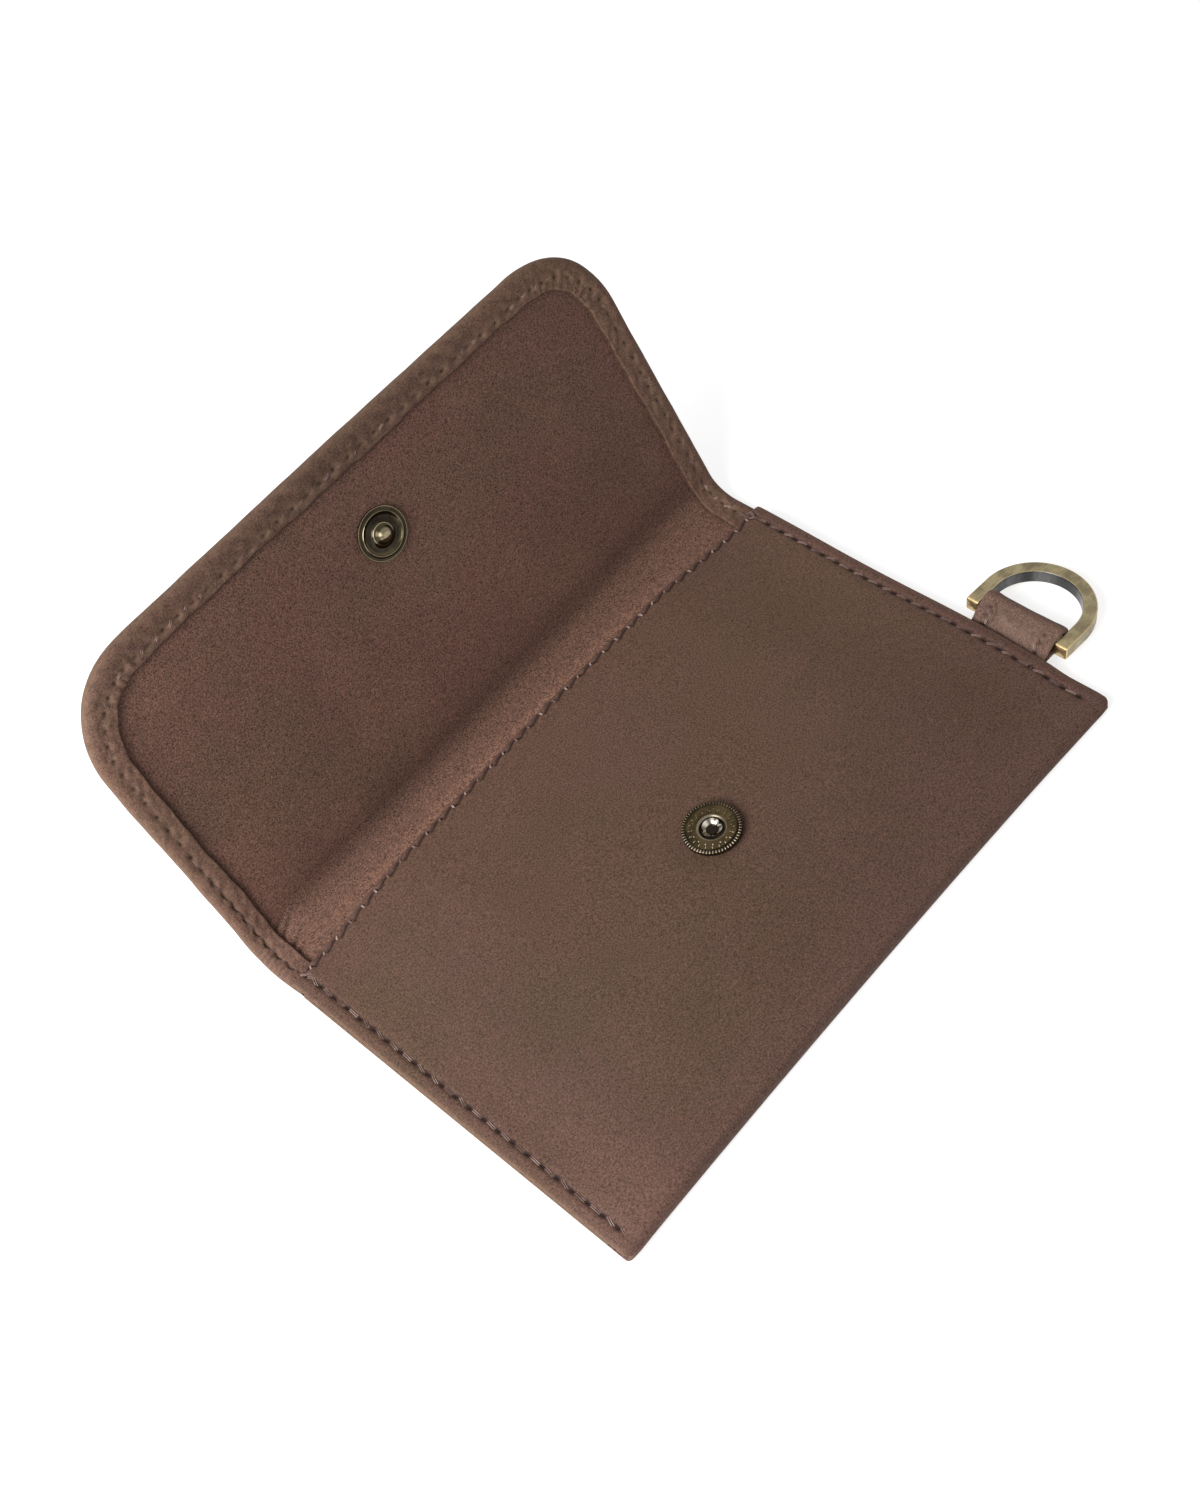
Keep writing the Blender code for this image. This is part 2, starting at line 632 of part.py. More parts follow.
def make_stud():
    """The half of the press stud on the flap: the stud with its knob, and the cap behind the flap."""
    seat = hinge_empty("stud_seat", (SNAP_X, STUD_REACH, 0), (0, 0, 0), flap_hinge)
    wall = SOCKET_WALL
    floor = SEAT_GAP + wall
    rim_mid = (STUD_RADIUS + STUD_GROOVE_RADIUS) / 2
    stud = [
        (STUD_BORE_RADIUS, STUD_KNOB_HEIGHT - wall / 2),
        ((STUD_BORE_RADIUS + STUD_KNOB_RADIUS) / 2, STUD_KNOB_HEIGHT),
        (STUD_KNOB_RADIUS - wall / 2, STUD_KNOB_HEIGHT - wall / 2),
        (STUD_KNOB_RADIUS, STUD_KNOB_HEIGHT - 2 * wall),
        (STUD_NECK_RADIUS, STUD_RING_HEIGHT + wall),
        (STUD_NECK_RADIUS, STUD_GROOVE_HEIGHT + wall / 2),
        (STUD_DISH_RADIUS, STUD_GROOVE_HEIGHT),
        (STUD_RING_RADIUS - wall, STUD_RING_HEIGHT - wall / 2),
        (STUD_RING_RADIUS, STUD_RING_HEIGHT),
        (STUD_GROOVE_RADIUS - wall, STUD_GROOVE_HEIGHT),
        (STUD_GROOVE_RADIUS, STUD_GROOVE_HEIGHT),
        (STUD_GROOVE_RADIUS + wall, STUD_RIM_HEIGHT - wall / 2),
        (rim_mid, STUD_RIM_HEIGHT),
        (STUD_RADIUS - wall, STUD_RIM_HEIGHT - wall / 2),
        (STUD_RADIUS, STUD_RIM_HEIGHT / 2),
        (STUD_RADIUS - wall, SEAT_GAP),
        (STUD_BORE_RADIUS, SEAT_GAP),
        (STUD_BORE_RADIUS, floor),
        (CAP_ROLL_RADIUS + SEAT_GAP, floor),
        (CAP_ROLL_RADIUS + SEAT_GAP, STUD_KNOB_HEIGHT - 3 * wall),
        (STUD_BORE_RADIUS, STUD_KNOB_HEIGHT - 2 * wall),
    ]
    turned("stud_ball", stud, antique_brass, seat)
    outside = OUTER_LOW - SEAT_GAP
    cap = [
        (0, floor + 2 * SEAT_GAP + wall),
        (CAP_ROLL_RADIUS - SEAT_GAP, floor + 2 * SEAT_GAP + wall),
        (CAP_ROLL_RADIUS, floor + SEAT_GAP),
        (CAP_POST_RADIUS, floor + SEAT_GAP),
        (CAP_POST_RADIUS, outside),
        (CAP_RADIUS - wall, outside),
        (CAP_RADIUS, outside - CAP_HEIGHT / 4),
        (CAP_RADIUS - wall, outside - CAP_HEIGHT / 2),
        (CAP_RADIUS / 2, outside - CAP_HEIGHT + wall / 2),
        (0, outside - CAP_HEIGHT),
    ]
    turned("stud_cap", cap, antique_brass, seat)


clear_scene()
wallet = new_collection("fold-over wallet")
cutters = new_collection("cutters")
cutters.hide_render = True

leather_outer = new_material("brown nubuck leather", (0.118, 0.070, 0.054), 0.78, 0.0)
leather_lining = new_material("brown lining leather", (0.098, 0.056, 0.046), 0.85, 0.0)
thread_brown = new_material("brown sewing thread", (0.20, 0.12, 0.11), 0.60, 0.0)
antique_brass = new_material("antique brass", (0.31, 0.25, 0.14), 0.35, 1.0)
spring_steel = new_material("spring wire", (0.42, 0.42, 0.42), 0.30, 1.0)

ring_reach = RING_LEG - RING_TAIL + RING_OUTER_RADIUS
ring_drop = math.asin((BAR_Z - RING_STOCK_THICKNESS / 2 - RING_TABLE_GAP) / ring_reach)
spine_hinge = hinge_empty("spine_hinge", (0, SPINE_AXIS_Y, LINING_TOP), (0, 0, 0))
flap_hinge = hinge_empty(
    "flap_hinge",
    (0, SPINE_HEIGHT, 0),
    (math.radians(FLAP_RAISED_DEG), 0, 0),
    spine_hinge,
)
ring_hinge = hinge_empty("d_ring_hinge", (BAR_X, TAB_Y, BAR_Z), (0, ring_drop, 0))

make_pocket_front()
make_pocket_back()
make_spine()
make_flap()
make_tab()
make_ring()
make_socket()
make_stud()
make_threads()
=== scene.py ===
import math

import bmesh
import bpy
import numpy as np
from mathutils import Matrix


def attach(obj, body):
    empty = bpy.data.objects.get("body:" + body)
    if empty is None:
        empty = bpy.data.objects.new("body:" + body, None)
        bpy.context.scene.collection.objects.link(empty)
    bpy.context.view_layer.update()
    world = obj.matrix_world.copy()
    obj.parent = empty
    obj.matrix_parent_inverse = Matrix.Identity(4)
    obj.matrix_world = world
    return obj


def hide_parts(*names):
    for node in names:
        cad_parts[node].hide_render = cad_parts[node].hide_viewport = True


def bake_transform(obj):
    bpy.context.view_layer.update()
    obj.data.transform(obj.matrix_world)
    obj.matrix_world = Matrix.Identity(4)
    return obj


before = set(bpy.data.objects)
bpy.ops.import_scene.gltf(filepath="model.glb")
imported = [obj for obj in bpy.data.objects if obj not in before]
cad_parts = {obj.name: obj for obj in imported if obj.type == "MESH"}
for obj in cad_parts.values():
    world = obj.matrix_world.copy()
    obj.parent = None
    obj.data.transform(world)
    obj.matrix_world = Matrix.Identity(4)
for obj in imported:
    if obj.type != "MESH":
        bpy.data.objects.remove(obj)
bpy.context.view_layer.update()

# The photographer's camera, as it was held for the product picture: over the pocket's near left
# corner and turned so that the wallet stands on its corner in the upright frame.
camera_place = (-0.1006, -0.1501, 0.2828)
camera_right = (0.6584, -0.7227, -0.2103)
camera_down = (-0.6897, -0.4675, -0.5529)
camera_forward = (0.3013, 0.5091, -0.8063)
focal_length = 48.56
film_width = 36.0


def placed(name, data):
    """A new object in the scene, at the origin."""
    thing = bpy.data.objects.new(name, data)
    bpy.context.scene.collection.objects.link(thing)
    return thing


lens = bpy.data.cameras.new("photographer")
lens.lens = focal_length
lens.sensor_width = film_width
lens.clip_start = 0.01
photographer = placed("photographer", lens)
turn = Matrix([camera_right, [-a for a in camera_down], [-a for a in camera_forward]]).transposed()
photographer.matrix_world = Matrix.Translation(camera_place) @ turn.to_4x4()
bpy.context.scene.camera = photographer

# The studio: a plain white table under a white surround, lit softly from all round with one
# large lamp overhead on the left. Camera and mirror rays see both as white paper.
bpy.context.scene.view_settings.view_transform = "Standard"


def feed(tree, node, sockets):
    """Gives each named or numbered socket a plain value, or the output of another node."""
    for socket, source in sockets.items():
        if isinstance(source, bpy.types.Node):
            source = source.outputs[0]
        if isinstance(source, bpy.types.NodeSocket):
            tree.links.new(source, node.inputs[socket])
        else:
            node.inputs[socket].default_value = source


def node_in(tree, kind, sockets=None, **settings):
    """A new node with its settings and what its sockets take."""
    node = tree.nodes.new(kind)
    for name, value in settings.items():
        setattr(node, name, value)
    feed(tree, node, sockets or {})
    return node


def seen_directly(tree):
    """1 where a camera, mirror or glass ray arrives, else 0."""
    path = node_in(tree, "ShaderNodeLightPath").outputs
    either = {0: path["Is Camera Ray"], 1: path["Is Glossy Ray"]}
    every = {0: node_in(tree, "ShaderNodeMath", either, operation="MAXIMUM"), 1: path["Is Transmission Ray"]}
    return node_in(tree, "ShaderNodeMath", every, operation="MAXIMUM")


table_reach = 1.5
table_drop = 0.00003
paper_white = (0.80, 0.80, 0.80, 1.0)
paper_glow = 0.72
corners = [(x * table_reach, y * table_reach, -table_drop) for x, y in ((-1, -1), (1, -1), (1, 1), (-1, 1))]
table_mesh = bpy.data.meshes.new("table")
table_mesh.from_pydata(corners, [], [(0, 1, 2, 3)])
table = placed("table", table_mesh)
paper = bpy.data.materials.new("white paper")
paper.use_nodes = True
tree = paper.node_tree
tree.nodes.clear()
matt = node_in(tree, "ShaderNodeBsdfDiffuse", {"Color": paper_white})
glow = node_in(tree, "ShaderNodeEmission", {"Strength": paper_glow})
both = node_in(tree, "ShaderNodeAddShader", {0: matt, 1: glow})
choose = node_in(tree, "ShaderNodeMixShader", {0: seen_directly(tree), 1: matt, 2: both})
node_in(tree, "ShaderNodeOutputMaterial", {"Surface": choose})
table_mesh.materials.append(paper)

surround_level = 0.36
world = bpy.data.worlds.new("white surround")
bpy.context.scene.world = world
world.use_nodes = True
tree = world.node_tree
tree.nodes.clear()
soft = node_in(tree, "ShaderNodeBackground", {"Strength": surround_level})
bright = node_in(tree, "ShaderNodeBackground", {"Strength": 1.0, "Color": (1.0, 1.0, 1.0, 1.0)})
choose = node_in(tree, "ShaderNodeMixShader", {0: seen_directly(tree), 1: soft, 2: bright})
node_in(tree, "ShaderNodeOutputWorld", {"Surface": choose})

lamp_place = (-0.30, 0.0, 0.26)
lamp_size = 0.30
lamp_power = 1.58
lamp = bpy.data.lights.new("overhead lamp", "AREA")
lamp.shape = "DISK"
lamp.size = lamp_size
lamp.energy = lamp_power
overhead = placed("overhead lamp", lamp)
overhead.location = lamp_place
overhead.rotation_euler = (-overhead.location).to_track_quat("-Z", "Y").to_euler()

# Outer leather, front panel: nubuck calf, 1.25 mm, cut in one piece with the bottom fold. Its
# mouth edge is turned in and stitched, and its sides are sewn through to the back and lining.
MM = 0.001
half_width = 60.0
panel_half = 60.25
mouth_y = 37.9
fold_y = -36.05
back_start_y = -33.05
leather = 1.25
seam_top = 3.7
gape = 4.7
gape_run_side = 28.0
gape_run_fold = 24.0
seam_inset = 2.6
seam_end = 3.0
corner_radius = 1.1
tab_y = -17.2
tab_root_width = 15.2
tab_stack = 0.80
border_lift = 0.85
border_lift_run = 34.0
tab_tail = 6.0
tab_run_mouth = 30.0
tab_run_fold = 5.5
snap_x = 0.8
snap_y = -3.0
stitch_pitch = 3.17
stitch_drop = 0.42
mouth_seam_depth = 1.15
mouth_zigzag = 0.90
fold_bow = 0.9
fold_lean = 0.004
corner_press = 0.7
side_draw = 0.30
hem_draw = 0.25
side_groove = 0.22
mouth_groove = 0.42
snap_press = 0.25
snap_press_reach = 7.0
edge_squeeze = 0.25
side_round = 0.40
hem_round = 0.5


def ease(t):
    """A soft step from 0 to 1."""
    t = np.clip(t, 0.0, 1.0)
    return t * t * (3.0 - 2.0 * t)


def hill(offset, width):
    """1 at no offset, falling away softly on both sides."""
    return np.exp(-((offset / width) ** 2))


def rounding(depth, radius):
    """Share of the thickness left at a depth in from a rounded edge."""
    inwards = np.clip(depth / radius, 0.0, 1.0)
    return np.maximum(np.sqrt(1.0 - (1.0 - inwards) ** 2), 0.06)


def swell(x, y, size, seed):
    """Slow, even unevenness of a cut hide, from -1 to 1, the same each run."""
    chance = np.random.default_rng(seed)
    total = 0.0 * x
    for _ in range(7):
        angle = chance.uniform(0, 2 * math.pi)
        phase = chance.uniform(0, 2 * math.pi)
        pace = 2 * math.pi / (size * chance.uniform(0.7, 1.6))
        total = total + np.sin(pace * (x * math.cos(angle) + y * math.sin(angle)) + phase)
    return total / 4.0


def tab_lift(x, y):
    """How far the tab's tails hold the front panel up at the right-hand seam."""
    beyond = np.abs(y - tab_y) - tab_root_width / 2
    run = np.where(y > tab_y, tab_run_mouth, tab_run_fold)
    inwards = (x - half_width + tab_tail + gape_run_side) / gape_run_side
    return tab_stack * (1 - ease(beyond / run)) * ease(inwards)


def front_height(x, y):
    """Height of the front panel's face, before seams and hems draw it in."""
    along = np.clip((y - fold_y) / gape_run_fold, 0.0, 1.0)
    rise = 0.6 * ease(along) + 0.4 * np.sin(along * math.pi / 2)
    full = ease((half_width - seam_inset - np.abs(x)) / gape_run_side) * rise
    over_border = border_lift * (1 - ease((mouth_y - 2.0 - y) / border_lift_run))
    pressed = corner_press * ease((x - 36.0) / 22.0) * ease((-12.0 - y) / 16.0)
    return seam_top - pressed + gape * full + (tab_lift(x, y) + over_border) * (1 - full)


def half_width_at(y):
    """Half the panel's width, drawn in round its two lower corners."""
    into = np.clip(corner_radius - (y + mouth_y), 0.0, corner_radius)
    return panel_half - corner_radius + np.sqrt(corner_radius**2 - into**2)


def near_edge_lines(reach, step):
    """Distances in from an edge, close together where the edge is rounded."""
    close = [0.0, 0.04, 0.12, 0.25, 0.42]
    return np.array(close + list(np.arange(0.62, reach, step)))


def welded(name, grids, marks):
    """Welds grids of points into one closed skin; marks are values kept on its points."""
    points, faces, values, start = [], [], {key: [] for key in marks[0]}, 0
    for grid, marked in zip(grids, marks):
        rows, cols = grid.shape[:2]
        index = np.arange(rows * cols).reshape(rows, cols) + start
        quads = np.stack([index[:-1, :-1], index[:-1, 1:], index[1:, 1:], index[1:, :-1]], -1)
        points.append(grid.reshape(-1, 3))
        faces.append(quads.reshape(-1, 4))
        for key, value in marked.items():
            values[key].append(np.broadcast_to(value, (rows, cols)).reshape(-1))
        start += rows * cols
    mesh = bpy.data.meshes.new(name)
    mesh.from_pydata((np.concatenate(points) * MM).tolist(), [], np.concatenate(faces).tolist())
    for key, value in values.items():
        layer = mesh.attributes.new(key, "FLOAT", "POINT")
        layer.data.foreach_set("value", np.concatenate(value).astype(np.float32))
    shape = bmesh.new()
    shape.from_mesh(mesh)
    bmesh.ops.remove_doubles(shape, verts=shape.verts, dist=0.000002)
    bmesh.ops.dissolve_degenerate(shape, edges=shape.edges, dist=0.0000001)
    bmesh.ops.recalc_face_normals(shape, faces=shape.faces)
    shape.to_mesh(mesh)
    shape.free()
    mesh.shade_smooth()
    mesh.set_sharp_from_angle(angle=math.radians(50.0))
    return placed(name, mesh)


def hide_marks(tone=0.0, rub_and_highlight=0.0, dark=0.0, ruddy=0.0):
    """What the hide's material reads on each point: painted light and shade (tone), rubbed places and painted
    highlights, painted shade with a few darker hide patches (dark), and ruddy places, painted light on the
    lining's strip.
    """
    return {"tone": tone, "rub_and_highlight": rub_and_highlight, "dark": dark, "ruddy": ruddy}


def slab(name, outer, inner, outer_marks, inner_marks):
    """One sheet of leather: its two faces and the four strips that close it along the edges."""
    whole = slice(None)
    edges = ((0, whole), (-1, whole), (whole, 0), (whole, -1))
    rims = [np.stack([outer[edge], inner[edge]]) for edge in edges]
    return welded(name, [outer, inner] + rims, [outer_marks, inner_marks] + [hide_marks(rub_and_highlight=1.0)] * 4)


def seam_dips(across, along, places, wide=0.36, long=0.46):
    """1 at the middle of each needle hole, falling to 0 round it."""
    nearest = places[np.clip(np.searchsorted(places, along), 1, len(places) - 1)]
    before = places[np.clip(np.searchsorted(places, along) - 1, 0, len(places) - 1)]
    gap = np.where(np.abs(along - nearest) < np.abs(along - before), along - nearest, along - before)
    return hill(across, wide) * hill(gap, long)


side_first = mouth_y - 1.6
side_holes = np.arange(side_first, seam_end - mouth_y - 0.2, -stitch_pitch)[::-1]
mouth_reach = half_width - seam_inset
mouth_count = 36
mouth_places = np.linspace(-mouth_reach + 1.2, mouth_reach - 1.2, mouth_count)
mouth_pitch = mouth_places[1] - mouth_places[0]


def mouth_edge(x):
    """How far the mouth's edge wanders from straight."""
    return 0.30 * swell(x, 0 * x, 40.0, 11) * ease((half_width - np.abs(x)) / 3.0)


def zigzag(along, first, pitch, climb):
    """A saw's outline, from -0.5 to 0.5, that climbs over one share of each stitch."""
    phase = ((along - first) / pitch) % 1.0
    return np.where(phase < climb, phase / climb, (1 - phase) / (1 - climb)) - 0.5


def mouth_seam_line(x):
    """Depth of the mouth's seam below the edge: each stitch pulls the groove a little askew."""
    return mouth_seam_depth + mouth_zigzag * zigzag(x, mouth_places[0], mouth_pitch, 0.2)


def front_face(x, y):
    """Height of the finished face: seams sunk, edges rounded, hide a little uneven."""
    side = half_width_at(y) - np.abs(x)
    hem = mouth_y - y
    z = front_height(x, y)
    z = z - side_draw * (1 - ease(side / 1.8)) - hem_draw * (1 - ease(hem / 1.0))
    groove = hill(side - seam_inset, 0.55) * ease((y + mouth_y - seam_end + 1.0) / 2.0)
    z = z - side_groove * groove
    z = z - stitch_drop * seam_dips(side - seam_inset, y, side_holes)
    within = ease((mouth_reach - np.abs(x)) / 1.0)
    z = z - mouth_groove * within * hill(hem - mouth_seam_line(x), 0.30)
    z = z + 0.10 * within * seam_dips(hem - mouth_seam_depth, x, mouth_places + 1.6, 0.9, 0.9)
    puff = ease((side - seam_inset) / 2.5) * ease((hem - 1.6) / 3.0)
    z = z + puff * (0.16 + 0.16 * swell(x, y, 34.0, 5) + 0.05 * swell(x, y, 12.0, 6))
    round_snap = np.hypot(x - snap_x, y - snap_y)
    return z - snap_press * np.exp(-((round_snap / snap_press_reach) ** 4))


edge_lines = near_edge_lines(4.6, 0.26)
columns = np.arange(-half_width + 5.0, half_width - 4.9, 0.55)
across = np.concatenate([-half_width + edge_lines, columns, half_width - edge_lines[::-1]])
hem_lines = np.concatenate([near_edge_lines(2.0, 0.10), np.arange(2.1, 3.4, 0.24)])
down = np.concatenate([mouth_y - hem_lines, np.arange(mouth_y - 3.6, fold_y + 0.3, -0.6)])
X, Y = np.meshgrid(across, down)
side = half_width - np.abs(X)
X = X * half_width_at(Y) / half_width
hem = mouth_y - Y
top = front_face(X, Y)
shut = rounding(side, side_round) * rounding(hem, hem_round)
thick = leather - edge_squeeze * (1 - ease(side / 2.0))
middle = top - thick / 2
shift = mouth_edge(X) * ease((Y - mouth_y + 9.0) / 9.0)
outer_front = np.stack([X, Y + shift, middle + thick / 2 * shut], -1)
inner_front = np.stack([X, Y + shift, middle - thick / 2 * shut], -1)
turns = np.linspace(0, math.pi, 17)[1:]
fold_radius = seam_top / 2
fold_rows_outer, fold_rows_inner = [], []
lift = front_face(across, np.full_like(across, fold_y)) - seam_top
bow = fold_bow * (1 - (across / half_width) ** 2) - fold_lean * across
side_row = half_width - np.abs(across)
thin = (leather - edge_squeeze * (1 - ease(side_row / 2.0))) * rounding(side_row, side_round)
for turn in turns:
    swing = math.sin(turn)
    half_here = half_width_at(np.full_like(across, fold_y - fold_radius * swing))
    x = across * half_here / half_width
    kept = (1 + math.cos(turn)) / 2
    for rows, offset in ((fold_rows_outer, thin / 2), (fold_rows_inner, -thin / 2)):
        radius = fold_radius - leather / 2 + offset
        y = fold_y - radius * swing + bow * swing
        z = fold_radius + radius * math.cos(turn) + lift * kept
        rows.append(np.stack([x, y, z], -1))
under_y = np.linspace(fold_y, back_start_y, 5)[1:]
for y in under_y:
    x = across * half_width_at(np.full_like(across, y)) / half_width
    fold_rows_outer.append(np.stack([x, np.full_like(across, y), leather / 2 - thin / 2], -1))
    fold_rows_inner.append(np.stack([x, np.full_like(across, y), leather / 2 + thin / 2], -1))
outer_front = np.concatenate([outer_front, np.stack(fold_rows_outer)])
inner_front = np.concatenate([inner_front, np.stack(fold_rows_inner)])
extra = len(outer_front) - len(X)


def carried_on(mark):
    """A row-wise mark kept going over the fold and the underlap."""
    return np.concatenate([mark, np.repeat(mark[-1:], extra, 0)])


seam_side = half_width_at(Y) - np.abs(X) - seam_inset
# Painted shade on the front panel: the needle holes, a line along the side seams' groove and a zigzag behind
# the mouth's edge, laid into the dark mark.
holes = seam_dips(seam_side + 0.10 * np.sin(Y * 7.3), Y, side_holes, 0.36, 0.60)
groove_painted_shade = 0.40 * hill(seam_side, 0.20) * ease((Y + mouth_y - 3.6) / 1.0)
mouth_painted_shadow = hill(hem - mouth_seam_line(X), 0.25) * ease((mouth_reach - np.abs(X)) / 0.8)
rub_and_highlight = 0.5 * np.clip(1 - side / 0.9, 0, 1) ** 1.5 + 0.25 * np.clip(1 - hem / 0.6, 0, 1)
strip = 0.6 * (1 - ease((side - 2.2) / 0.8)) * np.where(X > 0, 1.0, 0.15)
strip = strip + 0.7 * (1 - ease((hem - 0.9) / 0.5)) + 0.7 * hill(Y - fold_y, 9.0)
strip = np.clip(strip + 0.4 * hill(X + 50.0, 14.0) * hill(Y + 22.0, 14.0), 0, 1)


def painted_light_patches(x, y, patches):
    """Soft patches of painted light and shade: each is its share, then place and reach in x and in y."""
    total = 0.0
    for share, at_x, wide, at_y, long in patches:
        total = total + share * hill(x - at_x, wide) * hill(y - at_y, long)
    return total


# Painted light and shade on the front panel: lighter to the upper right, at the near left corner and below the
# middle of the mouth, darker on the left and low in the middle.
tone = painted_light_patches(X, Y, ((0.26, 50.0, 17.0, 20.0, 26.0), (0.24, -54.0, 8.0, -34.0, 13.0),
                    (-0.22, -42.0, 8.5, -3.0, 28.0), (-0.12, 8.0, 38.0, -26.0, 20.0)))
tone = tone + 0.09 * np.exp(-((X / 34.0) ** 4)) * ease((Y - 20.0) / 14.0)
seam_painted_shade = np.clip(holes * 1.6 + groove_painted_shade + 0.95 * mouth_painted_shadow, 0, 1)
front_marks = hide_marks(*(carried_on(mark) for mark in (tone, rub_and_highlight, seam_painted_shade, strip)))
plain_marks = hide_marks()
flesh_marks = hide_marks(ruddy=1.0)
pocket_front = slab("pocket_front_leather", outer_front, inner_front, front_marks, flesh_marks)

calf_brown = (0.130, 0.070, 0.048, 1.0)
calf_ruddy = (0.145, 0.075, 0.061, 1.0)
calf_olive = (0.116, 0.069, 0.043, 1.0)
calf_rubbed_and_highlight = (0.290, 0.185, 0.120, 1.0)
# The near-black colour of painted shade, also used for a few darker hide patches on the border.
painted_shade_and_patch_dark = (0.020, 0.008, 0.007, 1.0)


class Palette:
    """Short ways to add the usual shader nodes to one tree."""

    def __init__(self, tree):
        self.tree = tree

    def place(self):
        """Where a point is, in the object's own coordinates."""
        return node_in(self.tree, "ShaderNodeTexCoord").outputs["Object"]

    def mark(self, name):
        """A value kept on the mesh's points."""
        return node_in(self.tree, "ShaderNodeAttribute", attribute_name=name).outputs["Fac"]

    def cloud(self, where, scale, detail, rough):
        """Noise at a scale per metre."""
        sockets = {"Vector": where, "Scale": scale, "Detail": detail, "Roughness": rough}
        return node_in(self.tree, "ShaderNodeTexNoise", sockets).outputs["Fac"]

    def reckon(self, operation, *values, clamp=False):
        """One step of arithmetic."""
        sockets = dict(enumerate(values))
        return node_in(self.tree, "ShaderNodeMath", sockets, operation=operation, use_clamp=clamp).outputs[0]

    def stretch(self, value, low, high, to_low=0.0, to_high=1.0):
        """A soft step from one span to another."""
        sockets = dict(enumerate((value, low, high, to_low, to_high)))
        return node_in(self.tree, "ShaderNodeMapRange", sockets, interpolation_type="SMOOTHSTEP").outputs[0]

    def blend(self, share, first, second, way="MIX"):
        """A mix of two colours."""
        sockets = {0: share, 6: first, 7: second}
        return node_in(self.tree, "ShaderNodeMix", sockets, data_type="RGBA", blend_type=way).outputs[2]

    def shade(self, colour, light):
        """A colour made lighter or darker."""
        grey = node_in(self.tree, "ShaderNodeCombineColor", {0: light, 1: light, 2: light})
        return self.blend(1.0, colour, grey, "MULTIPLY")

    def give(self, colour, roughness, height):
        """What a surface group gives."""
        node_in(self.tree, "NodeGroupOutput", {"Color": colour, "Roughness": roughness, "Height": height})

    def finish(self, sockets):
        """Feeds the material's own shader."""
        feed(self.tree, self.tree.nodes["Principled BSDF"], sockets)


def surface_group(name, takes):
    """A shader group that gives colour, roughness and height; its inputs are colours and numbers."""
    group = bpy.data.node_groups.new(name, "ShaderNodeTree")
    for label, value in takes.items():
        kind = "NodeSocketColor" if isinstance(value, tuple) else "NodeSocketFloat"
        group.interface.new_socket(label, in_out="INPUT", socket_type=kind).default_value = value
    for label, kind in (("Color", "Color"), ("Roughness", "Float"), ("Height", "Float")):
        group.interface.new_socket(label, in_out="OUTPUT", socket_type="NodeSocket" + kind)
    return group, node_in(group, "NodeGroupInput").outputs, Palette(group)


hide_takes = {
    "Base": calf_brown, "Ruddy": calf_ruddy, "Olive": calf_olive, "Rubbed And Highlight": calf_rubbed_and_highlight,
    "Painted Shade And Patch Dark": painted_shade_and_patch_dark, "Patch Scale": 45.0, "Grain Scale": 3400.0, "Speckle": 0.70,
}
hide_group, given, on = surface_group("hide surface", hide_takes)
where = on.place()
shifted = node_in(hide_group, "ShaderNodeVectorMath", {0: where, 1: (0.37, 0.11, 0.53)}, operation="ADD")
patches = on.cloud(where, given["Patch Scale"], 4.0, 0.55)
other = on.cloud(shifted, given["Patch Scale"], 5.0, 0.6)
grain = on.cloud(where, given["Grain Scale"], 3.0, 0.7)
blotch = on.cloud(where, 620.0, 4.0, 0.65)
tint = on.cloud(shifted, 1300.0, 3.0, 0.65)
tone = on.blend(on.stretch(patches, 0.42, 0.66, 0.0, 0.55), given["Base"], given["Ruddy"])
tone = on.blend(on.stretch(other, 0.45, 0.68, 0.0, 0.8), tone, given["Olive"])
tone = on.blend(on.mark("ruddy"), tone, given["Ruddy"])
tone = on.blend(on.stretch(tint, 0.40, 0.62, 0.0, 0.40), tone, given["Olive"])
contrast = on.reckon("MULTIPLY", given["Speckle"], 5.0)
speckle = on.reckon("MULTIPLY", on.reckon("SUBTRACT", grain, 0.5), contrast)
mottle = on.reckon("MULTIPLY", on.reckon("SUBTRACT", blotch, 0.5), 0.36)
light = on.reckon("ADD", on.reckon("ADD", speckle, mottle), 1.0)
# The tone mark is painted light and shade: the colour is made lighter or darker by it.
light = on.reckon("MULTIPLY", light, on.reckon("ADD", on.mark("tone"), 1.0))
# The rubbed colour is laid both where the hide is worn and as painted highlight.
worn = on.reckon("MULTIPLY", on.mark("rub_and_highlight"), on.stretch(blotch, 0.3, 0.62, 0.35, 1.0), clamp=True)
tone = on.blend(worn, on.shade(tone, light), given["Rubbed And Highlight"])
# The dark mark is painted shade in needle holes, grooves, creases and under overlaps, with a few darker
# patches of hide.
tone = on.blend(on.mark("dark"), tone, given["Painted Shade And Patch Dark"])
pore_scale = on.reckon("MULTIPLY", given["Grain Scale"], 0.7)
pores = node_in(hide_group, "ShaderNodeTexVoronoi", {"Vector": where, "Scale": pore_scale}, feature="F1")
height = on.reckon("ADD", grain, on.reckon("MULTIPLY", pores.outputs["Distance"], 0.5))
on.give(tone, on.stretch(blotch, 0.3, 0.7, 0.62, 0.80), height)


def fresh_material(name):
    """A new material and the palette of its tree."""
    made = bpy.data.materials.new(name)
    made.use_nodes = True
    return made, Palette(made.node_tree)


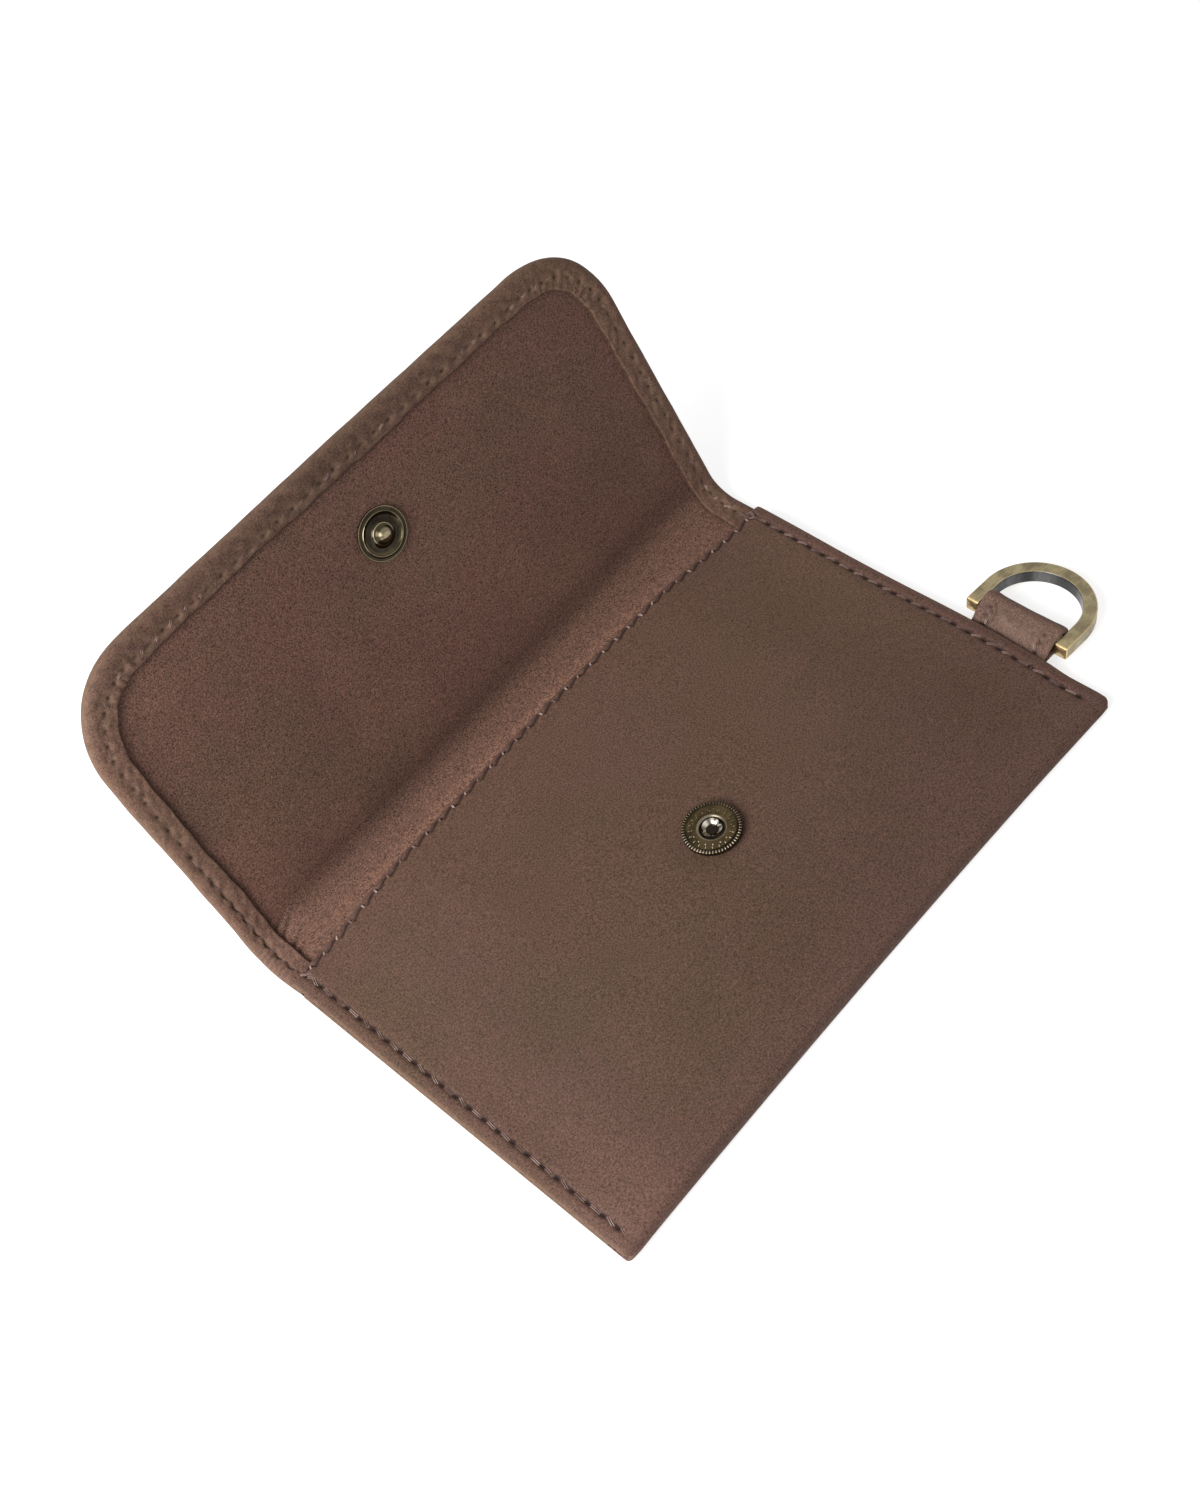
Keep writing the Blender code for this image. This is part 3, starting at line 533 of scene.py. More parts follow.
def covered(name, group, values, bump, bump_depth, finish):
    """A material made of a surface group and a finish, with its palette and its group's node."""
    made, on = fresh_material(name)
    surface = node_in(on.tree, "ShaderNodeGroup", values, node_tree=group)
    colour, roughness, height = (surface.outputs[label] for label in ("Color", "Roughness", "Height"))
    relief = {"Strength": bump, "Distance": bump_depth, "Height": height}
    normal = node_in(on.tree, "ShaderNodeBump", relief)
    on.finish(dict(finish, **{"Base Color": colour, "Roughness": roughness, "Normal": normal}))
    return made, on, surface


nap = {
    "Specular IOR Level": 0.22, "Sheen Weight": 0.05, "Sheen Roughness": 0.6,
    "Sheen Tint": (0.8, 0.65, 0.55, 1.0),
}
pore_depth = 0.00010


def hide_material(name, values, bump=0.35):
    """A leather with its own colours in the shared hide surface."""
    return covered(name, hide_group, values, bump, pore_depth, nap)[0]


calf = hide_material("brown nubuck calf", {})
pocket_front.data.materials.append(calf)
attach(pocket_front, "pocket")
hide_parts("pocket_front")

# Outer leather, back panel: the same hide, flat on the table, its raw sides sewn into the seams.
strip_from_y = 36.4
back_half = panel_half
back_edge = near_edge_lines(2.0, 0.4)
back_across = np.concatenate([-back_half + back_edge, np.arange(-back_half + 2.6, back_half - 2.5, 1.2),
                              back_half - back_edge[::-1]])
lining_low = 1.36
lining_top = 2.25
sheet_round = 0.22
mouth_light = 0.48
mouth_light_reach = 46.0


def painted_light_by_mouth(x):
    """Painted light on the middle of the strip beyond the mouth, lifting the shade under the mouth's edge,
    fading towards both sides.
    """
    return mouth_light * np.exp(-((x / mouth_light_reach) ** 4))


def flat_sheet(name, across, down, low, high, half_at=None):
    """A flat sheet with rounded sides and square ends, between two heights."""
    X, Y = np.meshgrid(across, down)
    side = across.max() - np.abs(X)
    if half_at is not None:
        X = X * half_at(Y) / across.max()
    offset = (high - low) / 2 * rounding(side, sheet_round)
    # Painted light on the strip just beyond the mouth, carried by the tone mark.
    tone = painted_light_by_mouth(X) * ease((Y - mouth_y + 0.5) / 1.5)
    # The ruddy mark past the mouth lays the lining's lighter Ruddy there, as painted light on the strip.
    marks = hide_marks(tone, 0.6 * np.clip(1 - side / 0.8, 0, 1), ruddy=ease((Y - mouth_y + 4.0) / 4.0))
    top, bottom = (np.stack([X, Y, (low + high) / 2 + way * offset], -1) for way in (1, -1))
    return slab(name, top, bottom, marks, dict(marks, ruddy=0.0))


back_down = np.arange(back_start_y, strip_from_y + 0.01, (strip_from_y - back_start_y) / 40)
pocket_back = flat_sheet("pocket_back_leather", back_across, back_down, 0.0, lining_low - 0.01)
pocket_back.data.materials.append(calf)
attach(pocket_back, "pocket")
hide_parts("pocket_back")

# Lining leather, lower half: a thin, smooth sheet over the back panel, seen beyond the mouth on the spine
# strip. Glued to the outer leather there.
skin_join_y = 40.9
lining_down = np.concatenate([[fold_y + 0.2], np.arange(-35.0, 34.0, 1.5),
                              np.arange(34.0, skin_join_y - 0.1, 0.4), [skin_join_y]])
lining_across = back_across * (half_width - 0.05) / back_half


def lining_half(y):
    """Half width of the lining: out to the seams' edge in the pocket, under the border past it."""
    return half_width - 0.05 - 1.3 * ease((y - strip_from_y + 1.4) / 1.2)


pocket_lining = flat_sheet("pocket_lining_leather", lining_across, lining_down, lining_low, lining_top,
                           lining_half)
# The lining's Ruddy is a lighter copy of its Base: besides random patches, it is laid on the spine strip as
# painted light.
lining_values = {
    "Base": (0.150, 0.073, 0.0555, 1.0), "Ruddy": (0.190, 0.100, 0.071, 1.0),
    "Olive": (0.126, 0.070, 0.0485, 1.0), "Rubbed And Highlight": (0.250, 0.160, 0.110, 1.0),
    "Grain Scale": 3800.0, "Speckle": 1.0,
}
lining_calf = hide_material("brown lining calf", lining_values, bump=0.28)
pocket_lining.data.materials.append(lining_calf)
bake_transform(pocket_lining)
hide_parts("pocket_lining")

# Outer leather, spine strip and flap: one piece that bends up at the crease. On three sides its
# skived edge is turned over the lining as a 5 mm border, gathered in pleats round both corners.
bend_start = 5.714
bend_radius = 5.8
bend_angle = math.radians(69.0)
bend_run = bend_radius * bend_angle
flap_end = 67.613
flap_corner = 15.8
rim_belly = 0.45
border_width = 5.0
border_top = 0.8
outer_face = -2.25
outer_inside = -1.0
skin_join = skin_join_y - mouth_y
ring_depth = 8.0
stitch_depth = 2.3
corner_pull_x = 0.55
corner_pull_s = 0.75
near_side_out = 0.55
near_side_in = 0.42
end_belly = 0.5
seam_groove = 0.09
hole_dip = 0.30
pleat_height = 0.13
wrinkle_height = 0.20
slanted_groove = 0.24


def along_strip(x, s, n):
    """Place on the strip and flap: s runs from the mouth over the crease, n stands off the lining."""
    in_corner = np.exp(-((x - 54.0) ** 2 + (s - 61.5) ** 2) / 60.0)
    x = x + corner_pull_x * in_corner
    s = s + corner_pull_s * in_corner
    on_near = ease((-x - 30.0) / 30.0)
    x = x + on_near * (near_side_out * hill(s - 56.0, 12.0) - near_side_in * hill(s - 4.0, 8.0))
    a = np.clip((s - bend_start) / bend_radius, 0.0, bend_angle)
    before = np.minimum(s, bend_start)
    after = np.maximum(s - bend_start - bend_run, 0.0)
    y = mouth_y + before + bend_radius * np.sin(a) + after * np.cos(a) - n * np.sin(a)
    z = lining_top + bend_radius * (1 - np.cos(a)) + after * np.sin(a) + n * np.cos(a)
    return np.stack([x + 0 * y, y, z], -1)


def flap_bulge(x, s):
    """How far the flap's far edge bellies out in its middle."""
    return s + end_belly * (1 - (x / half_width) ** 2) * ease((s - skin_join - 20.0) / 40.0)


corner_y = flap_end - flap_corner
straight_rows = np.linspace(skin_join, corner_y, int((corner_y - skin_join) / 0.53))
corner_turns = np.linspace(0, math.pi / 2, 50)[1:]
patch_s = np.concatenate([straight_rows, corner_y + (flap_corner - ring_depth) * np.sin(corner_turns)])
patch_half = np.concatenate([np.full(len(straight_rows), half_width - ring_depth),
                             half_width - flap_corner + (flap_corner - ring_depth) * np.cos(corner_turns)])
end_half = half_width - flap_corner
end_columns = np.linspace(-end_half, end_half, 161)
tail_rows = np.linspace(strip_from_y - mouth_y, skin_join, 9)[:-1]
left_edge = [(-half_width, s, 1.0, 0.0) for s in np.concatenate([tail_rows, straight_rows])]
for t in corner_turns:
    at = (-end_half - flap_corner * math.cos(t), corner_y + flap_corner * math.sin(t))
    left_edge.append(at + (math.cos(t), -math.sin(t)))
end_edge = [(x, flap_end, 0.0, -1.0) for x in end_columns[1:-1]]
right_edge = [(-x, s, -nx, ns) for x, s, nx, ns in left_edge[::-1]]
outline = np.array(left_edge + end_edge + right_edge)
steps = np.hypot(np.diff(outline[:, 0]), np.diff(outline[:, 1]))
outline_run = np.concatenate([[0.0], np.cumsum(steps)])
tails = len(tail_rows)
in_corner = np.minimum(np.abs(outline[:, 2]), np.abs(outline[:, 3])) > 0.01
corner_mask = np.convolve(in_corner, np.hanning(25) / np.hanning(25).sum(), "same")

top_depths = np.linspace(1.0, 0.0, 28)
belly = np.linspace(0.0, math.pi, 20)[1:-1]
back_depths = np.linspace(1.5, ring_depth, 9)
wave = 0.11 * np.sin(outline_run / 2.9) + 0.08 * np.sin(outline_run / 1.13 + 1.0)
raw_edge = border_width + (wave + 0.16 * np.sin(outline_run / 9.1))
border_holes = np.arange(1.9, outline_run[-1] - 1.5, stitch_pitch)
seam_depth = stitch_depth + 1.1 * outline[:, 3] ** 2
seam_depth = seam_depth + 0.12 * swell(outline_run, 0 * outline_run, 11.0, 23)
near_crease = hill(outline[:, 1] - 6.0, 5.0) * np.where(outline[:, 0] < 0, 1.0, 0.5)


def on_left_side(until, over):
    """1 along the border's left side from the mouth on, falling to 0 before a place on its run."""
    return np.where(outline[:, 0] < -50.0, ease((until - outline[:, 1]) / over), 0.0)


on_left = on_left_side(34.0, 16.0)


def ring_section(rim, belly_reach, top, bottom):
    """Depths and offsets across the turned edge, from the raw edge over the rim to the outer face."""
    upper = rim + (raw_edge[:, None] - rim) * top_depths[None, :]
    turned = rim - belly_reach * np.sin(belly)
    tall = (len(outline), 1)
    depth = np.concatenate([upper, np.tile(turned, tall), np.tile(back_depths, tall)], 1)
    middle, half = (top + bottom) / 2, (top - bottom) / 2
    over_rim = np.tile(middle + half * np.cos(belly), tall)
    beneath = np.full((len(outline), len(back_depths)), bottom)
    return depth, np.concatenate([np.full_like(upper, top), over_rim, beneath], 1)


def seam_zigzag(run):
    """How far each stitch pulls the border's seam askew."""
    return 0.5 * zigzag(run, border_holes[0], stitch_pitch, 0.3)


def cross_wrinkles(run):
    """Small wrinkles straight across the border where it bends up at the crease."""
    return np.sin(run * 2 * math.pi / 1.15 + 1.5 * np.sin(run / 1.3)) * near_crease[:, None]


def border_relief(depth):
    """What stitching, pleats and handling do to the turned border's face."""
    run = outline_run[:, None] + 0 * depth
    inner = raw_edge[:, None] - depth
    off_seam = depth - seam_depth[:, None]
    relief = -seam_groove * hill(off_seam, 0.8)
    holes = seam_dips(off_seam, run, border_holes, 0.40, 0.55)
    relief = relief - hole_dip * holes * (1 - 0.5 * on_left[:, None])
    relief = relief + 0.10 * seam_dips(off_seam, run, border_holes + 1.6, 0.8, 0.6)
    lumps = 0.12 * swell(run, depth * 2.0, 6.0, 21) + 0.11 * swell(run, depth, 2.2, 22)
    relief = relief + lumps * ease(inner / 1.0)
    pleats = np.sin(run * 2 * math.pi / 1.7 + 1.6 * np.sin(run / 1.7)) * ease((depth - 0.8) / 2.0)
    relief = relief + pleat_height * corner_mask[:, None] * pleats * (0.7 + 0.5 * swell(run, 0 * run, 4.0, 25))
    relief = relief + wrinkle_height * cross_wrinkles(run) * ease((seam_depth[:, None] + 0.4 - depth) / 0.8)
    return relief - slanted_groove * on_left[:, None] * hill(off_seam - seam_zigzag(run), 0.16)


depth, n = ring_section(1.5, 1.5, border_top, outer_face)
upper = slice(0, len(top_depths))
relief = border_relief(depth[:, upper])
skived = rounding(raw_edge[:, None] - depth[:, upper], 0.35)
under_panel = 0.45 + 0.55 * ease((outline[:, 1:2] + 1.5) / 4.0)
n[:, upper] = (n[:, upper] + relief) * (0.45 + 0.55 * skived) * under_panel
soft_rim = 0.05 * swell(outline_run, 0 * outline_run, 9.0, 31)[:, None]
inner_depth, inner_n = ring_section(1.6, 0.6, 0.0, outer_inside)
inner_n[:, upper] = np.minimum(inner_n[:, upper], n[:, upper] - 0.15)


def ring_place(depth, n):
    """Places at depths in from the outline and offsets from the lining."""
    x = outline[:, 0:1] + outline[:, 2:3] * depth
    s = outline[:, 1:2] + outline[:, 3:4] * depth
    return along_strip(x, flap_bulge(x, s), n)


rim_share = hill(depth, 1.5)
belly_here = rim_belly * (1 - 0.8 * on_left_side(46.0, 10.0))
belly_here = belly_here * ease((outline[:, 1] + 1.5) / 3.0)
ring_outer = ring_place(depth + (soft_rim - belly_here[:, None]) * rim_share, n)
ring_inner = ring_place(inner_depth, inner_n)
column_share = np.linspace(-1, 1, len(end_columns))


def patch_between(s_rows, half_rows, n):
    """The outer sheet's middle, inside the turned edges, at one offset from the lining."""
    x = half_rows[:, None] * column_share[None, :]
    s = s_rows[:, None] + 0 * x
    return along_strip(x, flap_bulge(x, s), n)


run_grid = outline_run[:, None] + 0 * depth
on_top = n > 0
from_raw = raw_edge[:, None] - depth
off_seam = depth - seam_depth[:, None]
# Painted shade in the border's needle holes.
pits = seam_dips(off_seam, run_grid, border_holes, 0.26, 0.30) * (1 - 0.5 * on_left[:, None])
rims = seam_dips(off_seam, run_grid, border_holes, 0.62, 0.80)
rims = rims - seam_dips(off_seam, run_grid, border_holes, 0.40, 0.52)
rim_rub = hill(depth + 0.1, 0.5) * (n > -1.2) * (n < 0.75) * 0.5
# Painted light along the raw edge: a highlight on the right side with painted shadow beside it, and painted
# shadow along the left side.
right_side = ease((outline[:, 0] - 20.0) / 25.0)[:, None]
patchy_edge = 0.55 + 0.75 * swell(run_grid, 0 * run_grid, 2.4, 26)
painted_edge_highlight = hill(from_raw - 0.26, 0.13) * on_top * right_side * patchy_edge
painted_edge_shadow = hill(from_raw, 0.26) * on_top * (1 - right_side) * 0.9
painted_edge_shadow = painted_edge_shadow + hill(from_raw, 0.12) * on_top * right_side * 0.6
patchy = swell(run_grid, depth * 1.3, 2.0, 24)
worn_patch = 0.20 * np.clip(patchy, 0, 1) * on_top
# Painted light and shade on the cross wrinkles: crests lighter, troughs darker.
wrinkle_painted_light = cross_wrinkles(run_grid) * on_top * ease((seam_depth[:, None] + 0.4 - depth) / 0.8)
rub_and_highlight = rim_rub + 0.62 * np.clip(painted_edge_highlight, 0, 1) + 1.2 * rims * on_top + worn_patch
rub_and_highlight = np.clip(rub_and_highlight + 0.45 * np.clip(wrinkle_painted_light, 0, 1), 0, 1)
left_seam_painted_shade = on_left[:, None] * hill(off_seam - seam_zigzag(run_grid), 0.16)
# The border's dark mark: painted shade in the holes, by the raw edge, in the left seam's groove and in wrinkle
# troughs, with a few darker hide patches.
dark = 0.9 * pits + painted_edge_shadow + 0.22 * np.clip(-patchy, 0, 1)
dark = dark + 0.9 * left_seam_painted_shade + 0.36 * np.clip(-wrinkle_painted_light, 0, 1)
lit = (0.36 * np.abs(outline[:, 2:3]) + 0.06 * on_left[:, None]) * ease((outline[:, 1:2] + 1.0) / 5.0)
end_lit = 0.16 * ease((outline[:, 0:1] - 15.0) / 25.0) - 0.12 * hill(outline[:, 0:1], 14.0)
lit = lit + outline[:, 3:4] ** 2 * end_lit
seen_side = ease((n + 2.1) / 1.6)
ring_marks = hide_marks(lit * seen_side, rub_and_highlight, np.clip(dark * on_top, 0, 1), 0.2 + 0.05 * seen_side)
plain = hide_marks(ruddy=0.2)
# Painted shade on the raw strip, darker along the left side than the right.
raw_edge_painted_shade = hide_marks(dark=np.stack([1 - 0.4 * right_side[:, 0]] * 2))


def turned_edge(start, stop):
    """One stretch of the turned edge: its two faces, its raw strip and its two cut ends."""
    cut = slice(start, stop)
    outer, inner = ring_outer[cut], ring_inner[cut]
    raw = np.stack([outer[:, 0], inner[:, 0]])
    ends = [np.stack([outer[i], inner[i]]) for i in (0, -1)]
    ring_here = {key: value[cut] for key, value in ring_marks.items()}
    raw_here = {key: value[:, cut] if np.ndim(value) else value for key, value in raw_edge_painted_shade.items()}
    return [outer, inner, raw] + ends, [ring_here, plain, raw_here, plain, plain]


def with_patch(edges, s_rows, half_rows, cap_rows):
    """Turned edges and the sheet between them, as grids and marks for one closed skin."""
    grids = sum((edge[0] for edge in edges), [])
    marks = sum((edge[1] for edge in edges), [])
    faces = [patch_between(s_rows, half_rows, n) for n in (outer_face, outer_inside)]
    caps = [np.stack([faces[0][i], faces[1][i]]) for i in cap_rows]
    return grids + faces + caps, marks + [plain] * (2 + len(caps))


grids, marks = with_patch([turned_edge(tails, len(outline) - tails)], patch_s, patch_half, (0,))
flap_skin = welded("flap_outer_leather", grids, marks)
flap_skin.data.materials.append(calf)
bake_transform(flap_skin)
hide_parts("spine_leather", "flap_leather")

strip_s = np.concatenate([tail_rows, [skin_join]])
strip_half = np.full(len(strip_s), half_width - ring_depth)
both_tails = [turned_edge(0, tails + 1), turned_edge(len(outline) - tails - 1, len(outline))]
grids, marks = with_patch(both_tails, strip_s, strip_half, (0, -1))
mouth_strip = welded("mouth_strip_leather", grids, marks)
mouth_strip.data.materials.append(calf)
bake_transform(mouth_strip)

# Lining leather, spine strip and flap: the smooth inner face, glued down and caught under the turned border.
# It shows fine wrinkles where it bends and a soft crease at the fold, with painted shade along the crease and
# in its small folds.
lining_inset = 1.35
lining_corner = flap_corner - lining_inset
lining_end = flap_end - lining_inset
lining_turn_s = lining_end - lining_corner
lining_rows = np.concatenate([np.arange(skin_join, 16.0, 0.3), np.arange(16.0, lining_turn_s, 1.1),
                              lining_turn_s + lining_corner * np.sin(np.linspace(0, math.pi / 2, 26))])
lining_columns = np.linspace(-1, 1, 181)
past = np.clip(lining_rows - lining_turn_s, 0, lining_corner)
lining_halves = half_width - lining_inset - lining_corner + np.sqrt(lining_corner**2 - past**2)
LX = lining_halves[:, None] * lining_columns[None, :]
LS = lining_rows[:, None] + 0 * LX
free = ease((half_width - np.abs(LX) - 4.4) / 3.0) * ease((flap_end - 4.0 - LS) / 3.0)
free = free * ease((LS - skin_join - 0.8) / 2.0)
crease_at = 13.4 + 1.3 * np.tanh(LX / 30.0)
folds = 0.0 * LX
for fold_s, climb, reach in ((10.2, 0.36, 5.5), (8.5, 0.48, 6.0), (6.2, 0.30, 5.0), (4.6, 0.20, 3.0)):
    aside = np.clip(LX + half_width - border_width, 0, None)
    fold_share = hill(LS - fold_s - climb * aside, 0.34) * ease((reach - aside) / reach)
    folds = folds + fold_share
wrinkle = 0.5 + 0.5 * np.sin((LX * 0.55 + LS * 1.0) * 2.1 + 2.0 * swell(LX, LS, 14.0, 41))
wrinkle = 0.07 * wrinkle**3 * hill(LS - 7.0, 4.5)
crease_line = -0.12 * hill(LS - crease_at, 1.6)
slack = 0.16 * swell(LX, LS, 30.0, 42) * ease((LS - 16.0) / 12.0)
relief = free * (wrinkle + crease_line + slack) - 0.42 * folds
lining_face = along_strip(LX, flap_bulge(LX, LS), relief)
lining_back = along_strip(LX, flap_bulge(LX, LS), np.minimum(relief - 0.4, -0.8))
# Painted light: the strip before the crease takes the lining's lighter Ruddy colour.
strip_painted_light = 1.0 - ease((LS - crease_at + 3.5) / 4.0)
# Painted shade along the crease and in the small folds by the left border.
crease_painted_shade = 0.25 * hill(LS - crease_at + 1.0, 2.3) * (1 - 0.8 * hill(LX + 55.0, 5.0)) + 0.42 * folds
# Painted light and shade on the lining in soft patches, and painted light beyond the mouth.
lining_painted_light = painted_light_patches(LX, LS, ((0.15, 8.0, 16.0, 42.0, 24.0), (0.14, -50.0, 12.0, 22.0, 12.0),
                             (-0.13, -8.0, 7.0, 46.0, 9.0), (0.25, -55.0, 5.0, 14.0, 6.0)))
lining_painted_light = lining_painted_light + painted_light_by_mouth(LX) * (1 - ease((LS - 3.4) / 4.0))
lining_marks = hide_marks(lining_painted_light, dark=crease_painted_shade, ruddy=strip_painted_light)
flap_lining = slab("flap_lining_leather", lining_face, lining_back, lining_marks, plain_marks)
flap_lining.data.materials.append(lining_calf)
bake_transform(flap_lining)
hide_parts("spine_lining", "flap_lining")

# Tab: a strip of the outer leather, 0.9 mm, folded round the D-ring's bar. Both tails are caught
# in the right-hand seam, and a row of stitches near each side closes it behind the bar.
bar_x = 65.0
bar_z = 3.45
bar_radius = 1.0
tab_leather = 0.9
tab_loop_width = 14.2
tab_flare = -0.22
tab_squeeze = 0.62
tab_wrap = bar_radius + 0.15 + tab_leather / 2
tab_gap = (tab_leather + 0.2) / 2
tab_stitch_inset = 2.2
tab_points = 110


def tab_middle(count):
    """The tab's middle line, from the upper tail round the bar to the lower tail, and its normals."""
    touch = math.acos(tab_wrap / math.hypot(half_width - bar_x, tab_gap))
    lean = math.atan2(tab_gap, bar_x - half_width)
    start = math.pi - touch - lean
    upper = [(half_width - tab_tail, bar_z + tab_gap), (half_width - tab_tail / 2, bar_z + tab_gap),
             (half_width - 0.4, bar_z + tab_gap)]
    around = np.linspace(start, -start, 26)
    bend = [(bar_x + tab_wrap * math.cos(t), bar_z + tab_wrap * math.sin(t)) for t in around]
    lower = [(x, 2 * bar_z - z) for x, z in upper[::-1]]
    corners = np.array(upper + bend + lower)
    run = np.concatenate([[0], np.cumsum(np.hypot(*np.diff(corners, axis=0).T))])
    even = np.linspace(0, run[-1], count)
    x = np.interp(even, run, corners[:, 0])
    z = np.interp(even, run, corners[:, 1])
    for _ in range(6):
        x[1:-1] = (x[:-2] + 2 * x[1:-1] + x[2:]) / 4
        z[1:-1] = (z[:-2] + 2 * z[1:-1] + z[2:]) / 4
    dx, dz = np.gradient(x), np.gradient(z)
    long = np.hypot(dx, dz)
    return x, z, -dz / long, dx / long


tab_x, tab_z, tab_nx, tab_nz = tab_middle(tab_points)
caught = 1 - ease((tab_x - half_width - 0.3) / 2.6)
tab_thin = 1 - (1 - tab_squeeze) * caught
tab_z = bar_z - 0.72 * caught + (tab_z - bar_z) * (1 - 0.38 * caught)
tab_rows = near_edge_lines(2.9, 0.25) / (tab_loop_width / 2)
tab_across = np.concatenate([tab_rows - 1, np.linspace(-0.57, 0.57, 26), 1 - tab_rows[::-1]])
tab_half = (tab_root_width - tab_flare * ease((tab_x - half_width) / 5.0)) / 2
TY = tab_half[:, None] * tab_across[None, :]
tab_side = tab_half[:, None] * (1 - np.abs(tab_across))[None, :]
TX = tab_x[:, None] + 0 * TY
upper_side = (tab_nz > 0)[:, None]
tab_holes_x = np.array([60.7, 62.1, 63.5])
dips = seam_dips(tab_side - tab_stitch_inset, TX, tab_holes_x, 0.4, 0.34)
uneven = 0.06 * swell(TX * 2, TY, 6.0, 51)
puff = 0.30 * hill(TX - bar_x, 1.6) * hill(tab_side - 1.2, 1.3) * upper_side
puff = puff + 0.25 * ease((TX - bar_x + 1.0) / 1.5)
creases = 0.16 * np.sin(TY * 2.3 + 1.2 * np.sin(TX * 1.4)) * hill(TX - 62.0, 1.8) * upper_side
curl = hill(TY - 4.0 - 0.30 * (TX - 62.6) ** 2, 0.26) * upper_side * ease((bar_x - TX) / 0.8)
half_thick = tab_leather / 2 * tab_thin[:, None] * rounding(tab_side, 0.4)
face_n = half_thick - 0.28 * dips + uneven + puff + creases - 0.16 * curl


def tab_place(n):
    """Places at offsets from the tab's middle line."""
    return np.stack([TX + tab_nx[:, None] * n, tab_y + TY, tab_z[:, None] + tab_nz[:, None] * n], -1)


handled = 0.50 * hill(TX - 62.4, 1.4) * upper_side * (0.6 + 0.5 * swell(TX, TY, 3.0, 52))
handled = handled * ease((tab_side - 1.0) / 3.0)
tab_rub = np.clip(np.clip(1 - tab_side / 0.5, 0, 1) * 0.4 + handled, 0, 1)
# Painted shade in the stitch holes, along the curled crease and where the tab goes in under the front panel.
tab_painted_shade = np.clip(0.75 * dips + 0.40 * curl + 0.5 * hill(TX - half_width - 0.3, 0.6), 0, 1)
tab_marks = hide_marks(rub_and_highlight=tab_rub, dark=tab_painted_shade, ruddy=0.8)
tab = slab("tab_leather", tab_place(face_n), tab_place(-half_thick), tab_marks, flesh_marks)
tab_values = {
    "Base": (0.205, 0.120, 0.090, 1.0), "Ruddy": (0.212, 0.124, 0.096, 1.0),
    "Olive": (0.180, 0.112, 0.078, 1.0), "Rubbed And Highlight": (0.36, 0.25, 0.19, 1.0),
}
tab.data.materials.append(hide_material("handled brown calf", tab_values))
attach(tab, "pocket")
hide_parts("tab_loop")

# Stitching: brown-pink two-ply thread, sewn with an awl and a needle at 3.2 mm. Each stitch is two
# plies lying side by side on the leather, and both ends dive into their needle holes.
thread_width = 0.19
stitch_length = 2.35
stitch_rise = 0.14
stitch_sink = 0.45
ply_gap = 0.27
stitch_slant = 0.45
thread_bed = 0.12
along_step = 0.3

thread, on = fresh_material("pink brown thread")
where = on.place()
fibre = on.cloud(where, 5200.0, 2.0, 0.6)
dye = on.stretch(on.cloud(where, 260.0, 2.0, 0.5), 0.4, 0.6)
dyed = on.blend(dye, (0.150, 0.078, 0.066, 1.0), (0.36, 0.225, 0.190, 1.0))
dyed.node.name = "dye mix"
tone = on.blend(on.stretch(fibre, 0.35, 0.65, 0.0, 0.45), dyed, (0.12, 0.06, 0.055, 1.0))
twist = node_in(on.tree, "ShaderNodeBump", {"Strength": 0.4, "Distance": 0.00006, "Height": fibre})
on.finish({"Base Color": tone, "Normal": twist, "Roughness": 0.55, "Sheen Weight": 0.1})

# A paler copy of the thread, as painted highlight on the stitches at the mouth, the left seam, the border's
# right end and the tab.
highlight_thread = thread.copy()
highlight_thread.name = "pale highlight thread"
highlight_mix = highlight_thread.node_tree.nodes["dye mix"]
highlight_mix.inputs[6].default_value = (0.24, 0.14, 0.115, 1.0)
highlight_mix.inputs[7].default_value = (0.60, 0.44, 0.385, 1.0)


def growing_tree(name, takes, gives):
    """A node tree for a modifier: what it takes, by kind or by usual value, and the mesh it gives."""
    tree = bpy.data.node_groups.new(name, "GeometryNodeTree")
    for label, taken in takes.items():
        kind = "Float" if isinstance(taken, float) else taken
        socket = tree.interface.new_socket(label, in_out="INPUT", socket_type="NodeSocket" + kind)
        if kind != taken:
            socket.default_value = taken
    tree.interface.new_socket(gives, in_out="OUTPUT", socket_type="NodeSocketGeometry")
    return tree, node_in(tree, "NodeGroupInput").outputs


def point_in(tree, *parts):
    """A vector of three numbers or outputs."""
    return node_in(tree, "ShaderNodeCombineXYZ", dict(enumerate(parts)))


def turned_to(tree, run, up):
    """The rotation that lays x along one vector and turns z towards another."""
    lie = node_in(tree, "FunctionNodeAlignRotationToVector", {"Vector": run}, axis="X")
    both = {"Rotation": lie, "Vector": up}
    return node_in(tree, "FunctionNodeAlignRotationToVector", both, axis="Z", pivot_axis="X")


def dressed(tree, instances, material, gives):
    """Makes a tree's instances real, smooth and of one material, and gives them."""
    real = node_in(tree, "GeometryNodeRealizeInstances", {"Geometry": instances})
    smooth = node_in(tree, "GeometryNodeSetShadeSmooth", {"Geometry": real})
    coated = node_in(tree, "GeometryNodeSetMaterial", {"Geometry": smooth, "Material": material})
    node_in(tree, "NodeGroupOutput", {gives: coated})


stitch_takes = {
    "Row": "Geometry", "Thread Width": thread_width, "Length": stitch_length, "Rise": stitch_rise,
    "Sink": stitch_sink, "Ply Gap": ply_gap, "Slant": stitch_slant, "Unevenness": 0.14, "Seed": "Int",
    "Thread": "Material",
}
stitch_row, given = growing_tree("stitch row", stitch_takes, "Stitches")
on = Palette(stitch_row)


def scaled(label, by):
    """One of the stitch's measures times a number."""
    return on.reckon("MULTIPLY", given[label], by)


